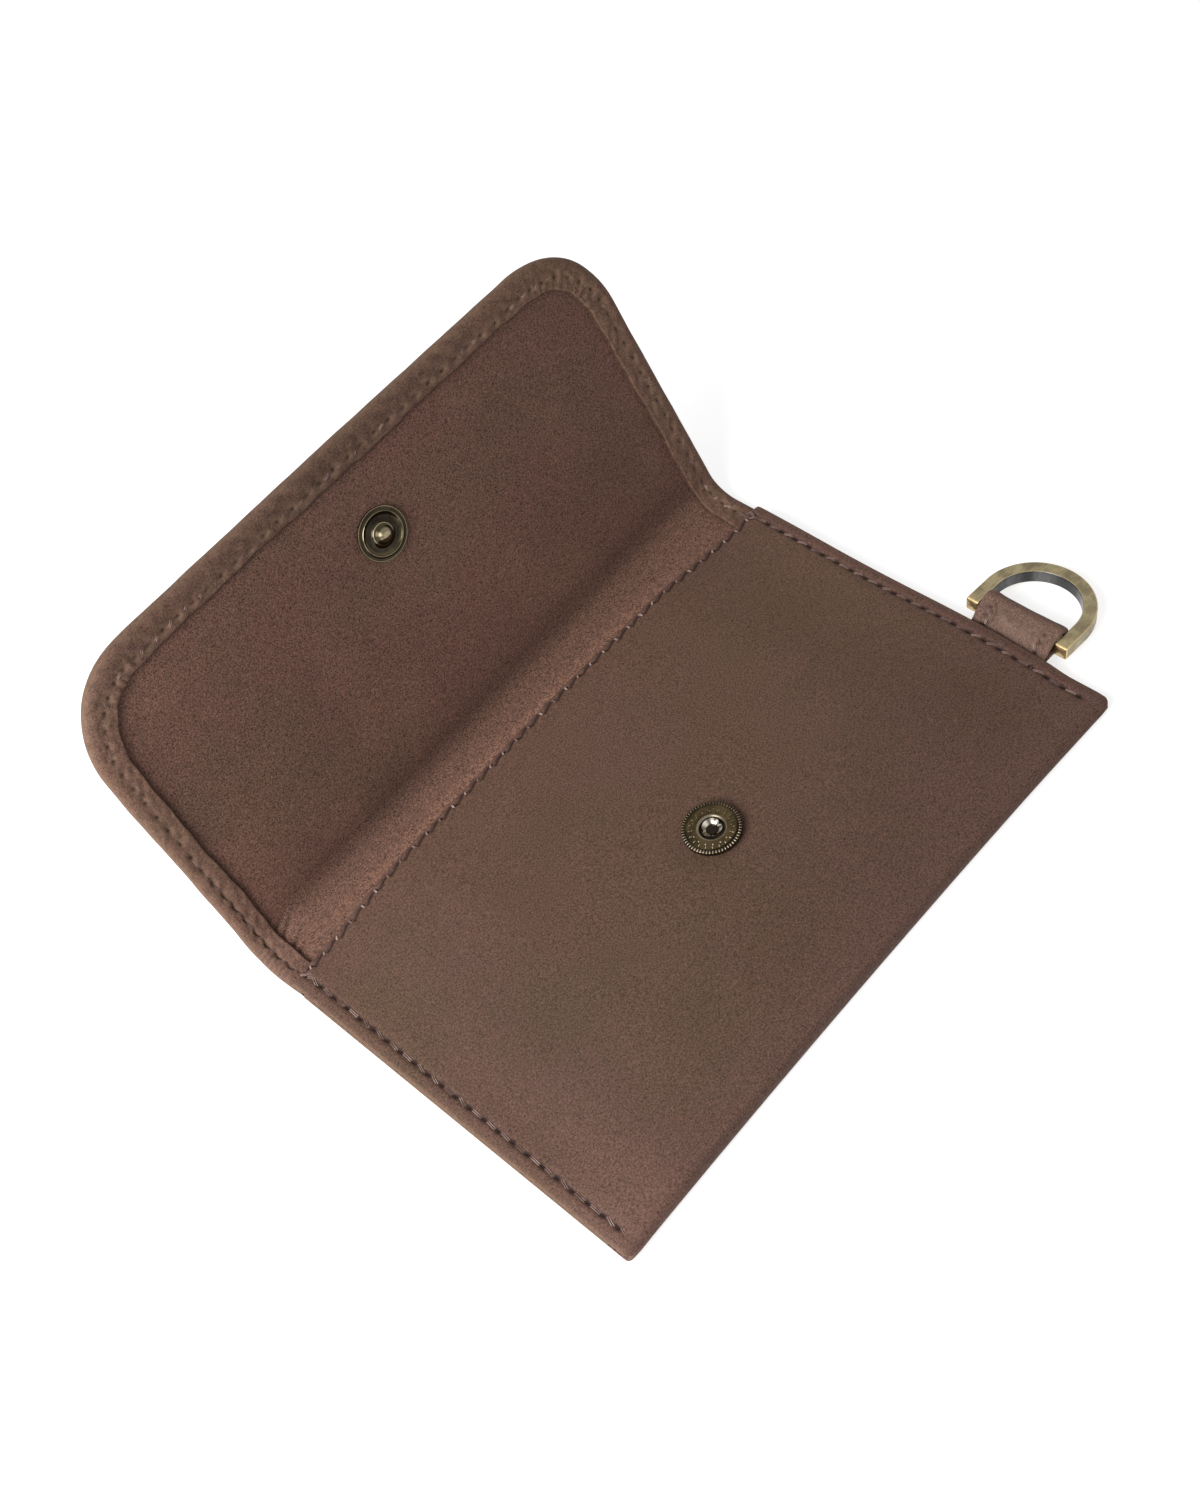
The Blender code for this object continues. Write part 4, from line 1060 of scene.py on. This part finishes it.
sunk = scaled("Sink", -MM)
high = scaled("Rise", 1.6 * MM)
arc = (("Start", -0.5, sunk, -0.5), ("Start Handle", -0.36, high, -0.5), ("End Handle", 0.36, high, 0.5),
       ("End", 0.5, sunk, 0.5))
plies = node_in(stitch_row, "GeometryNodeJoinGeometry")
for way in (-1, 1):
    bent = {"Resolution": 6}
    for label, share, height, slant in arc:
        aside = on.reckon("ADD", scaled("Ply Gap", 0.5 * way * MM), scaled("Slant", slant * MM))
        bent[label] = point_in(stitch_row, scaled("Length", share * MM), aside, height)
    ply = node_in(stitch_row, "GeometryNodeCurvePrimitiveBezierSegment", bent)
    stitch_row.links.new(ply.outputs[0], plies.inputs[0])
wire = {"Resolution": 6, "Radius": scaled("Thread Width", 0.5 * MM)}
round_wire = node_in(stitch_row, "GeometryNodeCurvePrimitiveCircle", wire)
swept = {"Curve": plies, "Profile Curve": round_wire, "Fill Caps": True}
stitch = node_in(stitch_row, "GeometryNodeCurveToMesh", swept)
places = node_in(stitch_row, "GeometryNodeMeshToPoints", {"Mesh": given["Row"]})
run, up = (node_in(stitch_row, "GeometryNodeInputNamedAttribute", {"Name": label}, data_type="FLOAT_VECTOR")
           for label in ("run", "up"))
sideways = {
    "Min": point_in(stitch_row, 0.0, 0.0, scaled("Unevenness", -1.0)),
    "Max": point_in(stitch_row, 0.0, 0.0, given["Unevenness"]), "Seed": given["Seed"],
}
chance = node_in(stitch_row, "FunctionNodeRandomValue", sideways, data_type="FLOAT_VECTOR")
turns = {"Rotation": turned_to(stitch_row, run, up), "Rotate By": chance}
yaw = node_in(stitch_row, "FunctionNodeRotateRotation", turns, rotation_space="LOCAL")
laid = {"Points": places, "Instance": stitch, "Rotation": yaw}
dressed(stitch_row, node_in(stitch_row, "GeometryNodeInstanceOnPoints", laid), given["Thread"], "Stitches")


def grown(name, tree, points, vectors, values):
    """Runs a node tree on a row of points and keeps its result as a plain mesh."""
    seeds = bpy.data.meshes.new(name + "_row")
    seeds.from_pydata((np.array(points) * MM).tolist(), [], [])
    for label, rows in vectors.items():
        layer = seeds.attributes.new(label, "FLOAT_VECTOR", "POINT")
        layer.data.foreach_set("vector", np.array(rows, np.float32).reshape(-1))
    carrier = placed(name + "_row", seeds)
    modifier = carrier.modifiers.new("grow", "NODES")
    modifier.node_group = tree
    for item in tree.interface.items_tree:
        if item.in_out == "INPUT" and item.name in values:
            modifier[item.identifier] = values[item.name]
    bpy.context.view_layer.update()
    evaluated = carrier.evaluated_get(bpy.context.evaluated_depsgraph_get())
    mesh = bpy.data.meshes.new_from_object(evaluated)
    bpy.data.objects.remove(carrier)
    mesh.name = name
    return placed(name, mesh)


def sewn(name, points, run, up, values):
    """A row of stitches at these points, each along its run and standing up from the leather."""
    return grown(name, stitch_row, points, {"run": run, "up": up}, values)


def unit(vectors):
    """The same directions, each one long."""
    return vectors / np.linalg.norm(vectors, axis=-1, keepdims=True)


def surface_up(place, x, y, step=0.2):
    """Unit normals of a surface given as a function of two plan coordinates."""
    one = place(x + step, y) - place(x - step, y)
    two = place(x, y + step) - place(x, y - step)
    return unit(np.cross(one, two))


def on_front(x, y):
    """Where a thread lies on the front panel."""
    return np.stack([x + 0 * y, y + 0 * x, front_height(x, y) - thread_bed + 0 * x], -1)


middles = (side_holes[1:] + side_holes[:-1]) / 2
past_last = side_holes[0] - stitch_pitch / 2 + 0.25
for side, name in ((1, "right_seam"), (-1, "left_seam")):
    places = middles if side > 0 else np.concatenate([[past_last], middles])
    x = np.full_like(places, side * (panel_half - seam_inset))
    points = on_front(x, places)
    run = unit(on_front(x, places - along_step) - on_front(x, places + along_step))
    values = {"Thread": thread, "Seed": 3 + side, "Slant": 0.5 * side, "Unevenness": 0.2,
              "Thread Width": 0.17}
    if side < 0:
        values.update({"Thread": highlight_thread, "Thread Width": 0.13, "Ply Gap": 0.30})
    row = sewn(name + "_stitches", points, run, surface_up(on_front, x, places), values)
    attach(row, "pocket")
    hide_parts(name + "_thread")

tack_x = np.array([-57.9, -57.2, -57.5, 57.8, 57.3])
tack_y = np.array([37.0, 36.3, 35.6, 37.0, 36.2])
tack_turn = np.array([0.5, -0.4, 0.2, -0.5, 0.3])
tack_run = unit(np.stack([np.sin(tack_turn), -np.cos(tack_turn), 0 * tack_turn], -1))
values = {"Thread": thread, "Seed": 31, "Length": 1.9, "Rise": 0.2}
tack_up = surface_up(on_front, tack_x, tack_y)
row = sewn("corner_tack_stitches", on_front(tack_x, tack_y), tack_run, tack_up, values)
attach(row, "pocket")

hem_y = mouth_y + mouth_edge(mouth_places) - mouth_seam_depth + 0.12
points = np.stack([mouth_places, hem_y, front_height(mouth_places, hem_y) - 0.22], -1)
flat_up = np.tile([0.0, 0.5, 0.87], (mouth_count, 1))
hem_run = unit(np.tile([0.45, 0.87, -0.5], (mouth_count, 1)))
values = {"Thread": highlight_thread, "Seed": 7, "Length": 1.15, "Rise": 0.28, "Ply Gap": 0.15, "Slant": 0.05,
          "Unevenness": 0.55, "Thread Width": 0.19}
row = sewn("mouth_stitches", points, hem_run, flat_up, values)
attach(row, "pocket")
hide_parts("mouth_seam_thread")

between = (border_holes[1:] + border_holes[:-1]) / 2
edge_x, edge_s = (np.interp(between, outline_run, outline[:, i]) for i in (0, 1))
into_x, into_s = (np.interp(between, outline_run, outline[:, i]) for i in (2, 3))
between_depth = np.interp(between, outline_run, seam_depth)
stitch_x, stitch_s = edge_x + into_x * between_depth, edge_s + into_s * between_depth


def on_border(x, s):
    """Where a thread lies on the turned border."""
    return along_strip(x, flap_bulge(x, s), 0 * x + border_top - thread_bed)


points = on_border(stitch_x, stitch_s)
ahead, behind = (on_border(stitch_x - into_s * step, stitch_s + into_x * step)
                 for step in (along_step, -along_step))
run = unit(ahead - behind)
up = surface_up(on_border, stitch_x, stitch_s)
values = {"Thread": thread, "Seed": 12, "Slant": 0.8, "Unevenness": 0.6, "Length": 1.7,
          "Thread Width": 0.19, "Ply Gap": 0.32}
by_mouth = stitch_s < skin_join
at_end = (stitch_x > 50.0) & (stitch_s < 13.0)


def border_row(name, chosen):
    """The border's stitches at the chosen holes."""
    return sewn(name, points[chosen], run[chosen], up[chosen], values)


row = border_row("border_stitches", ~at_end & ~by_mouth)
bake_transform(row)
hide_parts("flap_border_thread", "spine_thread_left", "spine_thread_right")
row = border_row("border_first_stitch_left", ~at_end & by_mouth)
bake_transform(row)
values.update({"Thread": highlight_thread, "Seed": 13, "Length": 2.0, "Rise": 0.2})
row = border_row("border_end_stitches", at_end & ~by_mouth)
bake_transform(row)
row = border_row("border_first_stitch_right", at_end & by_mouth)
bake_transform(row)

tab_middles = np.array([61.4, 62.8])
for side, name in ((1, "near"), (-1, "far")):
    at = [int(np.argmin(np.abs(tab_x[:tab_points // 2] - x))) for x in tab_middles]
    y = tab_y + side * (tab_loop_width / 2 - tab_stitch_inset)
    points = [(tab_x[i] + tab_nx[i] * 0.50, y, tab_z[i] + tab_nz[i] * 0.50) for i in at]
    run = [(tab_nz[i], 0.0, -tab_nx[i]) for i in at]
    up = [(tab_nx[i], 0.0, tab_nz[i]) for i in at]
    values = {"Thread": highlight_thread, "Seed": 20 + side, "Length": 1.25, "Slant": 0.3,
              "Thread Width": 0.15}
    row = sewn("tab_stitches_" + name, points, run, up, values)
    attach(row, "pocket")
    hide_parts("tab_thread_" + name)

# D-ring: a bow of square brass stock, plated antique and brushed, the plating rubbed to gold at the
# leg ends. It turns on a round bar inside the tab and rests with its bow on the table.
ring_outer_radius = 10.22
ring_stock = 2.42
ring_thick = 2.55
ring_leg = 3.55
ring_tail = 2.28
ring_round = 0.24
ring_drop = math.asin((bar_z - ring_thick / 2 - 0.06) / (ring_leg + ring_outer_radius))


def from_ring(points):
    """From the ring's own flat layout to its place, leaning from the bar to the table."""
    points = np.asarray(points, float)
    x = bar_x + points[..., 0] * math.cos(ring_drop) + points[..., 2] * math.sin(ring_drop)
    z = bar_z - points[..., 0] * math.sin(ring_drop) + points[..., 2] * math.cos(ring_drop)
    return np.stack([x, tab_y + points[..., 1], z], -1)


def square_section(wide, high, corner, per_corner=7, per_side=5):
    """A rectangle with rounded corners, slightly crowned, as points round its outline."""
    points = []
    for centre_x, centre_y, first in ((1, 1, 0), (-1, 1, 90), (-1, -1, 180), (1, -1, 270)):
        for t in np.radians(np.linspace(first, first + 90, per_corner)):
            points.append((centre_x * (wide / 2 - corner) + corner * math.cos(t),
                           centre_y * (high / 2 - corner) + corner * math.sin(t)))
    points = np.array(points + points[:1])
    run = np.concatenate([[0], np.cumsum(np.hypot(*np.diff(points, axis=0).T))])
    keep = np.unique(np.round(np.concatenate([run, np.linspace(0, run[-1], 4 * per_side)]), 4))[:-1]
    return np.stack([np.interp(keep, run, points[:, 0]), np.interp(keep, run, points[:, 1])], -1)


ring_mid = ring_outer_radius - ring_stock / 2
leg = np.concatenate([[0.0, 0.0, 0.04, 0.12, 0.24, 0.45], np.linspace(0.7, ring_leg + ring_tail, 14)])
shrink = np.concatenate([[0.0, 0.90, 0.94, 0.98, 1.0, 1.0], np.ones(14)])
turns = np.linspace(-math.pi / 2, math.pi / 2, 61)[1:-1]
path = [(d - ring_tail, -ring_mid, 0.0, -1.0) for d in leg]
path += [(ring_leg + ring_mid * math.cos(t), ring_mid * math.sin(t), math.cos(t), math.sin(t)) for t in turns]
path += [(d - ring_tail, ring_mid, 0.0, 1.0) for d in leg[::-1]]
size = np.concatenate([shrink, np.ones(len(turns)), shrink[::-1]])
section = square_section(ring_stock, ring_thick, ring_round)
tube = np.array([[(x + out_x * w * k, y + out_y * w * k, h * k) for w, h in section]
                 for (x, y, out_x, out_y), k in zip(path, size)])
ring_points = from_ring(tube)
ring_points = np.concatenate([ring_points, ring_points[:, :1]], 1)
end_gold = 1 - 0.85 * ease((leg - 0.05) / 0.4)
end_gold = end_gold * (1 - ease((leg - 1.0) / 2.5))
gold = np.concatenate([end_gold, 0 * turns, end_gold[::-1]])[:, None]
stock_w, stock_h = np.concatenate([section, section[:1]]).T
flat_w, flat_h = ring_stock / 2 - ring_round * 0.9, ring_thick / 2 - ring_round * 0.9
at_corner = (np.abs(stock_w) > flat_w) & (np.abs(stock_h) > flat_h)
inside = stock_w < -ring_stock / 2 + ring_round * 0.5
at_rim = inside & (stock_h > ring_thick / 2 - ring_round * 0.5)
# Painted highlight along the inner top rim, with rubbed corners elsewhere, both through the edge mark; the
# inside mark gives the inner wall painted shade and reflection.
edge = np.clip(0.45 * at_corner + 1.3 * at_rim, 0, 1)[None, :]
ring_marks = {"gold": gold + 0 * edge, "edge": edge + 0 * gold, "inside": inside[None, :] * (1 - gold)}
bow_piece = welded("d_ring_bow_brass", [ring_points], [ring_marks])

brass_takes = {
    "Plating": (0.34, 0.280, 0.165, 1.0), "Gold": (0.92, 0.70, 0.36, 1.0),
    "Tarnish": (0.17, 0.140, 0.085, 1.0), "Rubbing And Highlight": 0.0, "Tarnishing": 0.8, "Scratch": 0.5,
    "Gunmetal": (0.100, 0.098, 0.098, 1.0), "Painted Shade And Reflection": 0.0, "Polish": 0.0,
}
brass_group, given, on = surface_group("aged brass", brass_takes)
where = on.place()
brushing = {"Vector": where, "Rotation": (0.0, 0.0, 0.5), "Scale": (350.0, 3200.0, 1800.0)}
streaks = on.cloud(node_in(brass_group, "ShaderNodeMapping", brushing), 1.0, 3.0, 0.6)
clouds = on.cloud(where, 320.0, 4.0, 0.6)
tarnished = on.reckon("MULTIPLY", on.stretch(clouds, 0.36, 0.64), given["Tarnishing"])
tone = on.blend(tarnished, given["Plating"], given["Tarnish"])
# The gold is laid as rubbing and as painted highlight, wherever the marks ask for it.
gilt_and_highlight = on.reckon("MULTIPLY", given["Rubbing And Highlight"], on.stretch(clouds, 0.25, 0.6, 0.5, 1.0), clamp=True)
tone = on.blend(gilt_and_highlight, tone, given["Gold"])
# Painted shade and reflection: where its share is high the metal turns to the darker gunmetal with upright
# painted reflection bands, on the ring's inner wall and in the snaps' hollows.
upright = node_in(brass_group, "ShaderNodeMapping", {"Vector": where, "Scale": (210.0, 190.0, 30.0)})
painted_reflection_bands = on.stretch(on.cloud(upright, 1.0, 3.0, 0.6), 0.38, 0.68, 0.60, 1.7)
tone = on.blend(given["Painted Shade And Reflection"], tone, on.shade(given["Gunmetal"], painted_reflection_bands))
scratched = on.shade(tone, on.stretch(streaks, 0.35, 0.65, 0.78, 1.2))
dull = on.reckon("SUBTRACT", on.stretch(clouds, 0.3, 0.7, 0.30, 0.42), given["Polish"])
on.give(on.blend(given["Scratch"], tone, scratched), dull, streaks)
scratch_depth = 0.00005


def brass_material(name, rubbing=(), values=None, bump=0.08, extra_rub_and_glint=0.0, shade_mark=None, near_side=None):
    """Aged brass, gold where the named marks of the mesh are high, as rubbing and as painted highlight, or as
    a painted glint towards one side.
    """
    metal = {"Metallic": 1.0}
    made, on, surface = covered(name, brass_group, values or {}, bump, scratch_depth, metal)
    total = extra_rub_and_glint
    for mark, share in rubbing:
        total = on.reckon("MULTIPLY_ADD", on.mark(mark), share, total, clamp=True)
    if near_side:
        direction, low, high = near_side
        both = {0: on.place(), 1: direction}
        towards = node_in(on.tree, "ShaderNodeVectorMath", both, operation="DOT_PRODUCT").outputs["Value"]
        total = on.stretch(towards, low, high, 0.3 * extra_rub_and_glint, 1.8 * extra_rub_and_glint)
    feed(on.tree, surface, {"Rubbing And Highlight": total})
    if shade_mark:
        feed(on.tree, surface, {"Painted Shade And Reflection": on.mark(shade_mark)})
    return made


bow_brass = brass_material("brushed antique brass", (("gold", 0.95), ("edge", 0.55)), shade_mark="inside")
bow_piece.data.materials.append(bow_brass)
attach(bow_piece, "d_ring")
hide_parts("d_ring_bow")


def lathe(name, profile, marks, steps, to_place, closed=True, flute=None):
    """Turns a profile of (radius, height) round its axis and puts it in place."""
    profile = np.array(profile + (profile[:1] if closed else []), float)
    turns = np.linspace(0, 2 * math.pi, steps + 1)
    radius = profile[:, 0][:, None] + 0 * turns[None, :]
    height = profile[:, 1][:, None] + 0 * radius
    if flute is not None:
        radius, height = flute(radius, height, turns[None, :])
    points = np.stack([radius * np.cos(turns), radius * np.sin(turns), height], -1)
    values = {}
    for key, value in marks.items():
        rows = np.array(list(value) + list(value[:1] if closed else []), float)
        values[key] = rows if rows.ndim > 1 else rows[:, None]
    return welded(name, [to_place(points)], [values])


def softened(profile, amount):
    """Cuts a closed profile's corners a little, as plating and pressing do."""
    points = np.array(profile, float)
    cut = []
    for way in (1, -1):
        side = np.roll(points, way, 0) - points
        long = np.linalg.norm(side, axis=1)
        cut.append(points + side * (np.minimum(amount, 0.3 * long) / np.maximum(long, 1e-9))[:, None])
    return np.stack(cut, 1).reshape(-1, 2)


bar_reach = 10.2
bar_neck = 0.65
bar_shoulder = ring_outer_radius - ring_stock - 0.15
bar_half = [(0.0, bar_reach), (bar_neck, bar_reach), (bar_neck, bar_shoulder), (bar_radius, bar_shoulder)]
bar_profile = softened(bar_half + [(r, -h) for r, h in bar_half[::-1]], 0.06)
bar_profile = [(max(r, 0.0), h) for r, h in bar_profile]
bar_piece = lathe("d_ring_bar_brass", bar_profile, {"edge": [0.0] * len(bar_profile)}, 32,
                  lambda p: from_ring(p[..., [0, 2, 1]]))
bar_piece.data.materials.append(brass_material("bar brass", (), {"Tarnishing": 0.3}, extra_rub_and_glint=0.3))
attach(bar_piece, "d_ring")
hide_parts("d_ring_bar")

# Press stud, socket half on the pocket: a pressed cap with a beaded rim, a flat ring of small dots
# and a raised lip, with its spring ring inside. A tube with a flared, split end clenches it.
socket_seat = front_height(np.array([snap_x]), np.array([snap_y]))[0]


def on_socket(points):
    """From the socket's own axis to its place on the pocket."""
    return np.asarray(points) + np.array([snap_x, snap_y, socket_seat])


turned_steps = 96
socket_profile = [
    (2.02, 0.52), (2.12, 0.78), (2.26, 0.95), (2.42, 1.03), (2.58, 1.01), (2.80, 0.93), (3.20, 0.90),
    (3.70, 0.88), (4.06, 0.90), (4.22, 0.97), (4.40, 1.06), (4.60, 1.09), (4.80, 1.02), (4.96, 0.84),
    (5.02, 0.58), (4.97, 0.34), (4.80, 0.14), (1.25, 0.14), (1.25, 0.30), (3.08, 0.34), (3.12, 0.60),
    (2.90, 0.74), (2.50, 0.80), (2.20, 0.56),
]
# Painted highlight on the lip round the well; painted shade in the well and in the rim's groove.
lip_painted_highlight, hollow_painted_shade = [], []
for r, h in socket_profile:
    in_well = r < 3.2 and h < 0.81 and (r, h) != (2.12, 0.78)
    in_groove = 4.1 < r < 5.0 and h > 0.8
    lip_painted_highlight.append(1.0 if r < 2.45 and 0.75 < h < 1.05 else 0.0)
    hollow_painted_shade.append(1.0 if in_well else 0.7 if in_groove else 0.0)
socket_marks = {"edge": lip_painted_highlight, "deep": hollow_painted_shade}
socket_cap = lathe("socket_cap_brass", socket_profile, socket_marks, turned_steps, on_socket)
snap_values = {
    "Plating": (0.094, 0.067, 0.031, 1.0), "Tarnish": (0.026, 0.019, 0.010, 1.0),
    "Gold": (0.70, 0.61, 0.47, 1.0), "Gunmetal": (0.014, 0.011, 0.008, 1.0), "Tarnishing": 0.8,
    "Polish": 0.06,
}
snap_brass = brass_material("dark antique brass", (("edge", 0.22),), snap_values, bump=0.05, shade_mark="deep")
socket_cap.data.materials.append(snap_brass)
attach(socket_cap, "pocket")
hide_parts("socket_body")

bead_takes = {
    "Centre": "Geometry", "Beads": "Int", "Circle Radius": "Float", "Bead Long": "Float",
    "Bead Wide": "Float", "Bead High": "Float", "Metal": "Material",
}
bead_ring, given = growing_tree("bead ring", bead_takes, "Ring")
around = {"Vertices": given["Beads"], "Radius": given["Circle Radius"]}
circle = node_in(bead_ring, "GeometryNodeMeshCircle", around, fill_type="NONE")
bead = node_in(bead_ring, "GeometryNodeMeshUVSphere", {"Segments": 8, "Rings": 6, "Radius": 1.0})
outwards = node_in(bead_ring, "GeometryNodeInputPosition")
laid = {
    "Points": circle, "Instance": bead, "Rotation": turned_to(bead_ring, outwards, (0.0, 0.0, 1.0)),
    "Scale": point_in(bead_ring, given["Bead Wide"], given["Bead Long"], given["Bead High"]),
}
whole_ring = node_in(bead_ring, "GeometryNodeInstanceOnPoints", laid)
dots = node_in(bead_ring, "GeometryNodeMeshToPoints", {"Mesh": given["Centre"]})
centred = node_in(bead_ring, "GeometryNodeInstanceOnPoints", {"Points": dots, "Instance": whole_ring})
dressed(bead_ring, centred, given["Metal"], "Ring")

# Each ring: its beads' count, radius, length, width and height, the height it lies at, and how strong its
# painted glint is.
bead_rings = (
    ("socket_rim_knurls", 58, 4.72, 0.125, 0.36, 0.26, 0.98, 0.42),
    ("socket_ring_dots", 16, 3.22, 0.19, 0.17, 0.19, 0.90, 0.42),
    ("socket_ring_ticks", 21, 3.68, 0.10, 0.36, 0.19, 0.89, 0.40),
)
# Painted glint: the beads turn gold-bright towards minus x and minus y, the side of the lamp and camera.
painted_glint_side = ((-0.75, -0.66, 0.0), 0.0004, 0.0062)
for name, count, radius, long, wide, high, lift, glint_strength in bead_rings:
    metal = brass_material(name + " metal", (), snap_values, 0.03, glint_strength, near_side=painted_glint_side)
    sizes = {"Beads": count, "Circle Radius": radius * MM, "Bead Long": long * MM, "Bead Wide": wide * MM,
             "Bead High": high * MM, "Metal": metal}
    beads = grown(name, bead_ring, on_socket([[0.0, 0.0, lift]]), {}, sizes)
    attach(beads, "pocket")

tube_profile = [
    (0.0, 0.22), (0.80, 0.22), (0.88, 0.26), (0.96, 0.34), (1.08, 0.48), (1.26, 0.64), (1.46, 0.76),
    (1.62, 0.78), (1.68, 0.68), (1.58, 0.54), (1.30, 0.40), (1.06, 0.24), (0.95, 0.02), (0.95, -1.37),
    (3.90, -1.40), (3.80, -1.58), (0.0, -1.60),
]
tube_turns = np.linspace(0, 2 * math.pi, turned_steps + 1)
lit_side = 0.10 + 0.90 * ease(0.5 + 0.6 * np.cos(tube_turns - 0.7))
lit_side = lit_side * (0.55 + 0.45 * np.sin(tube_turns * 9.0 + 2.0 * np.sin(tube_turns * 2.0)))
# Painted highlight on the flared petals, streaky and stronger on one side; painted shade in the bore.
tube_marks = {"edge": [lit_side * (1.0 if r > 0.98 and h > 0.2 else 0.0) for r, h in tube_profile],
              "deep": [0 * lit_side + (1.0 if r < 0.97 and h > 0.1 else 0.0) for r, h in tube_profile]}


def split_end(radius, height, turns):
    """The tube's flared end, split into petals by the clenching tool."""
    petals = np.abs(np.sin(turns * 1.5 + 0.9 * np.sin(2 * turns + 1.0))) ** 0.5
    flared = ease((radius - 0.96) / 0.5) * (height > 0.23)
    high_side = 0.5 + 0.5 * np.cos(turns - 0.7)
    radius = radius * (1 - 0.30 * flared * (1 - petals)) * (1 + 0.14 * flared * high_side)
    return radius, height + flared * (0.44 * high_side - 0.34 - 0.22 * (1 - petals))


eyelet = lathe("socket_tube_brass", tube_profile, tube_marks, turned_steps, on_socket, False, split_end)
tube_values = dict(snap_values, Gold=(0.90, 0.84, 0.74, 1.0), Polish=0.12)
tube_brass = brass_material("clenched tube brass", (("edge", 0.8),), tube_values, bump=0.05, shade_mark="deep")
eyelet.data.materials.append(tube_brass)
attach(eyelet, "pocket")
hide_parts("socket_eyelet")

spring_wire, on = fresh_material("spring wire steel")
drawn = on.cloud(on.place(), 1800.0, 3.0, 0.6)
steel = on.blend(drawn, (0.34, 0.33, 0.31, 1.0), (0.56, 0.54, 0.50, 1.0))
on.finish({"Base Color": steel, "Roughness": on.stretch(drawn, 0.3, 0.7, 0.22, 0.36), "Metallic": 1.0})
wire_radius = 2.62
wire_thick = 0.20
wire_height = 0.64
wire_gap = 0.15
wire_sides = 11
wire_turns = np.linspace(wire_gap, 2 * math.pi - wire_gap, 73)
wire_round = np.linspace(0, 2 * math.pi, wire_sides)
TT, RR = np.meshgrid(wire_turns, wire_round, indexing="ij")
wire_scale = np.minimum(1.0, np.sin((TT - TT.min()) / (TT.max() - TT.min()) * math.pi) * 12 + 0.02)
out_by = wire_radius + wire_thick * wire_scale * np.cos(RR)
up_by = wire_height + wire_thick * wire_scale * np.sin(RR)
wire_points = np.stack([out_by * np.cos(TT), out_by * np.sin(TT), up_by], -1)
ends = [np.stack([wire_points[i], np.repeat(wire_points[i].mean(0)[None], wire_sides, 0)]) for i in (0, -1)]
wire_grids = [on_socket(grid) for grid in [wire_points] + ends]
spring = welded("socket_spring_wire", wire_grids, [{"edge": 0.0}] * 3)
spring.data.materials.append(spring_wire)
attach(spring, "pocket")
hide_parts("socket_spring")

# Press stud, stud half on the flap: a rolled outer ring, a dark groove, a second ring and a dished
# centre from which the domed knob rises. Behind the flap its cap is a smooth domed button.
stud_reach = 41.7
stud_s = bend_start + bend_run + stud_reach - bend_radius * math.tan(bend_angle / 2)


def on_stud(points):
    """From the stud's own axis to its place on the flap."""
    points = np.asarray(points)
    none = 0 * points[..., 0]
    flat = along_strip(none, none + stud_s, none)
    along = np.array([0.0, math.cos(bend_angle), math.sin(bend_angle)])
    up = np.array([0.0, -math.sin(bend_angle), math.cos(bend_angle)])
    side_on = np.array([1.0, 0.0, 0.0])
    return flat + (snap_x + points[..., 0:1]) * side_on + points[..., 1:2] * along + points[..., 2:3] * up


stud_profile = [
    (0.0, 2.26), (0.22, 2.23), (0.50, 2.12), (0.80, 1.94), (1.10, 1.70), (1.36, 1.40), (1.54, 1.12),
    (1.70, 0.94), (1.84, 0.88), (1.95, 0.84), (2.03, 0.74), (2.10, 0.58), (2.24, 0.46), (2.60, 0.38),
    (3.10, 0.38), (3.48, 0.48), (3.66, 0.66), (3.76, 0.80), (3.86, 0.82), (3.95, 0.70), (4.14, 0.60),
    (4.42, 0.58), (4.58, 0.64), (4.68, 0.64), (4.75, 0.50), (4.70, 0.26), (4.50, 0.12), (1.22, 0.12),
    (1.22, 1.02), (0.80, 1.30), (0.0, 1.36),
]
stud_crests = ((1.95, 0.84), (3.86, 0.82), (4.68, 0.64))
# Painted highlights on the three ring crests and the knob's top, through the edge mark; painted shade in the
# dish and the outer groove, through the deep mark.
stud_marks = {"edge": [], "deep": []}
for r, h in stud_profile:
    crest_highlight = 1.0 if (r, h) in stud_crests else 0.0
    stud_marks["edge"].append(0.9 if r < 0.6 and h > 1.8 else 0.4 if r < 1.2 and h > 1.6 else crest_highlight)
    stud_marks["deep"].append(1.0 if 2.1 < r < 3.4 else 0.7 if 3.9 < r < 4.5 else 0.0)
stud = lathe("stud_knob_brass", stud_profile, stud_marks, turned_steps, on_stud, closed=False)
stud_values = dict(snap_values, Plating=(0.082, 0.064, 0.036, 1.0), Tarnish=(0.034, 0.028, 0.017, 1.0),
                   Gunmetal=(0.030, 0.025, 0.017, 1.0), Gold=(0.62, 0.52, 0.34, 1.0), Polish=0.13)
stud_brass = brass_material("dark stud brass", (("edge", 0.60),), stud_values, bump=0.05, shade_mark="deep")
stud.data.materials.append(stud_brass)
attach(stud, "flap")
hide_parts("stud_ball")

cap_profile = [
    (0.0, 0.80), (0.90, 0.80), (1.08, 0.66), (1.05, 0.48), (0.65, 0.46), (0.65, -2.37), (5.95, -2.37),
    (6.16, -2.50), (6.20, -2.72), (6.08, -2.95), (5.70, -3.16), (4.60, -3.42), (3.10, -3.60),
    (1.50, -3.67), (0.0, -3.68),
]
unmarked = {"edge": [0.0] * len(cap_profile)}
cap = lathe("stud_cap_brass", cap_profile, unmarked, turned_steps, on_stud, closed=False)
cap.data.materials.append(brass_material("cap brass", (), snap_values, bump=0.04, extra_rub_and_glint=0.12))
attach(cap, "flap")
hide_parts("stud_cap")
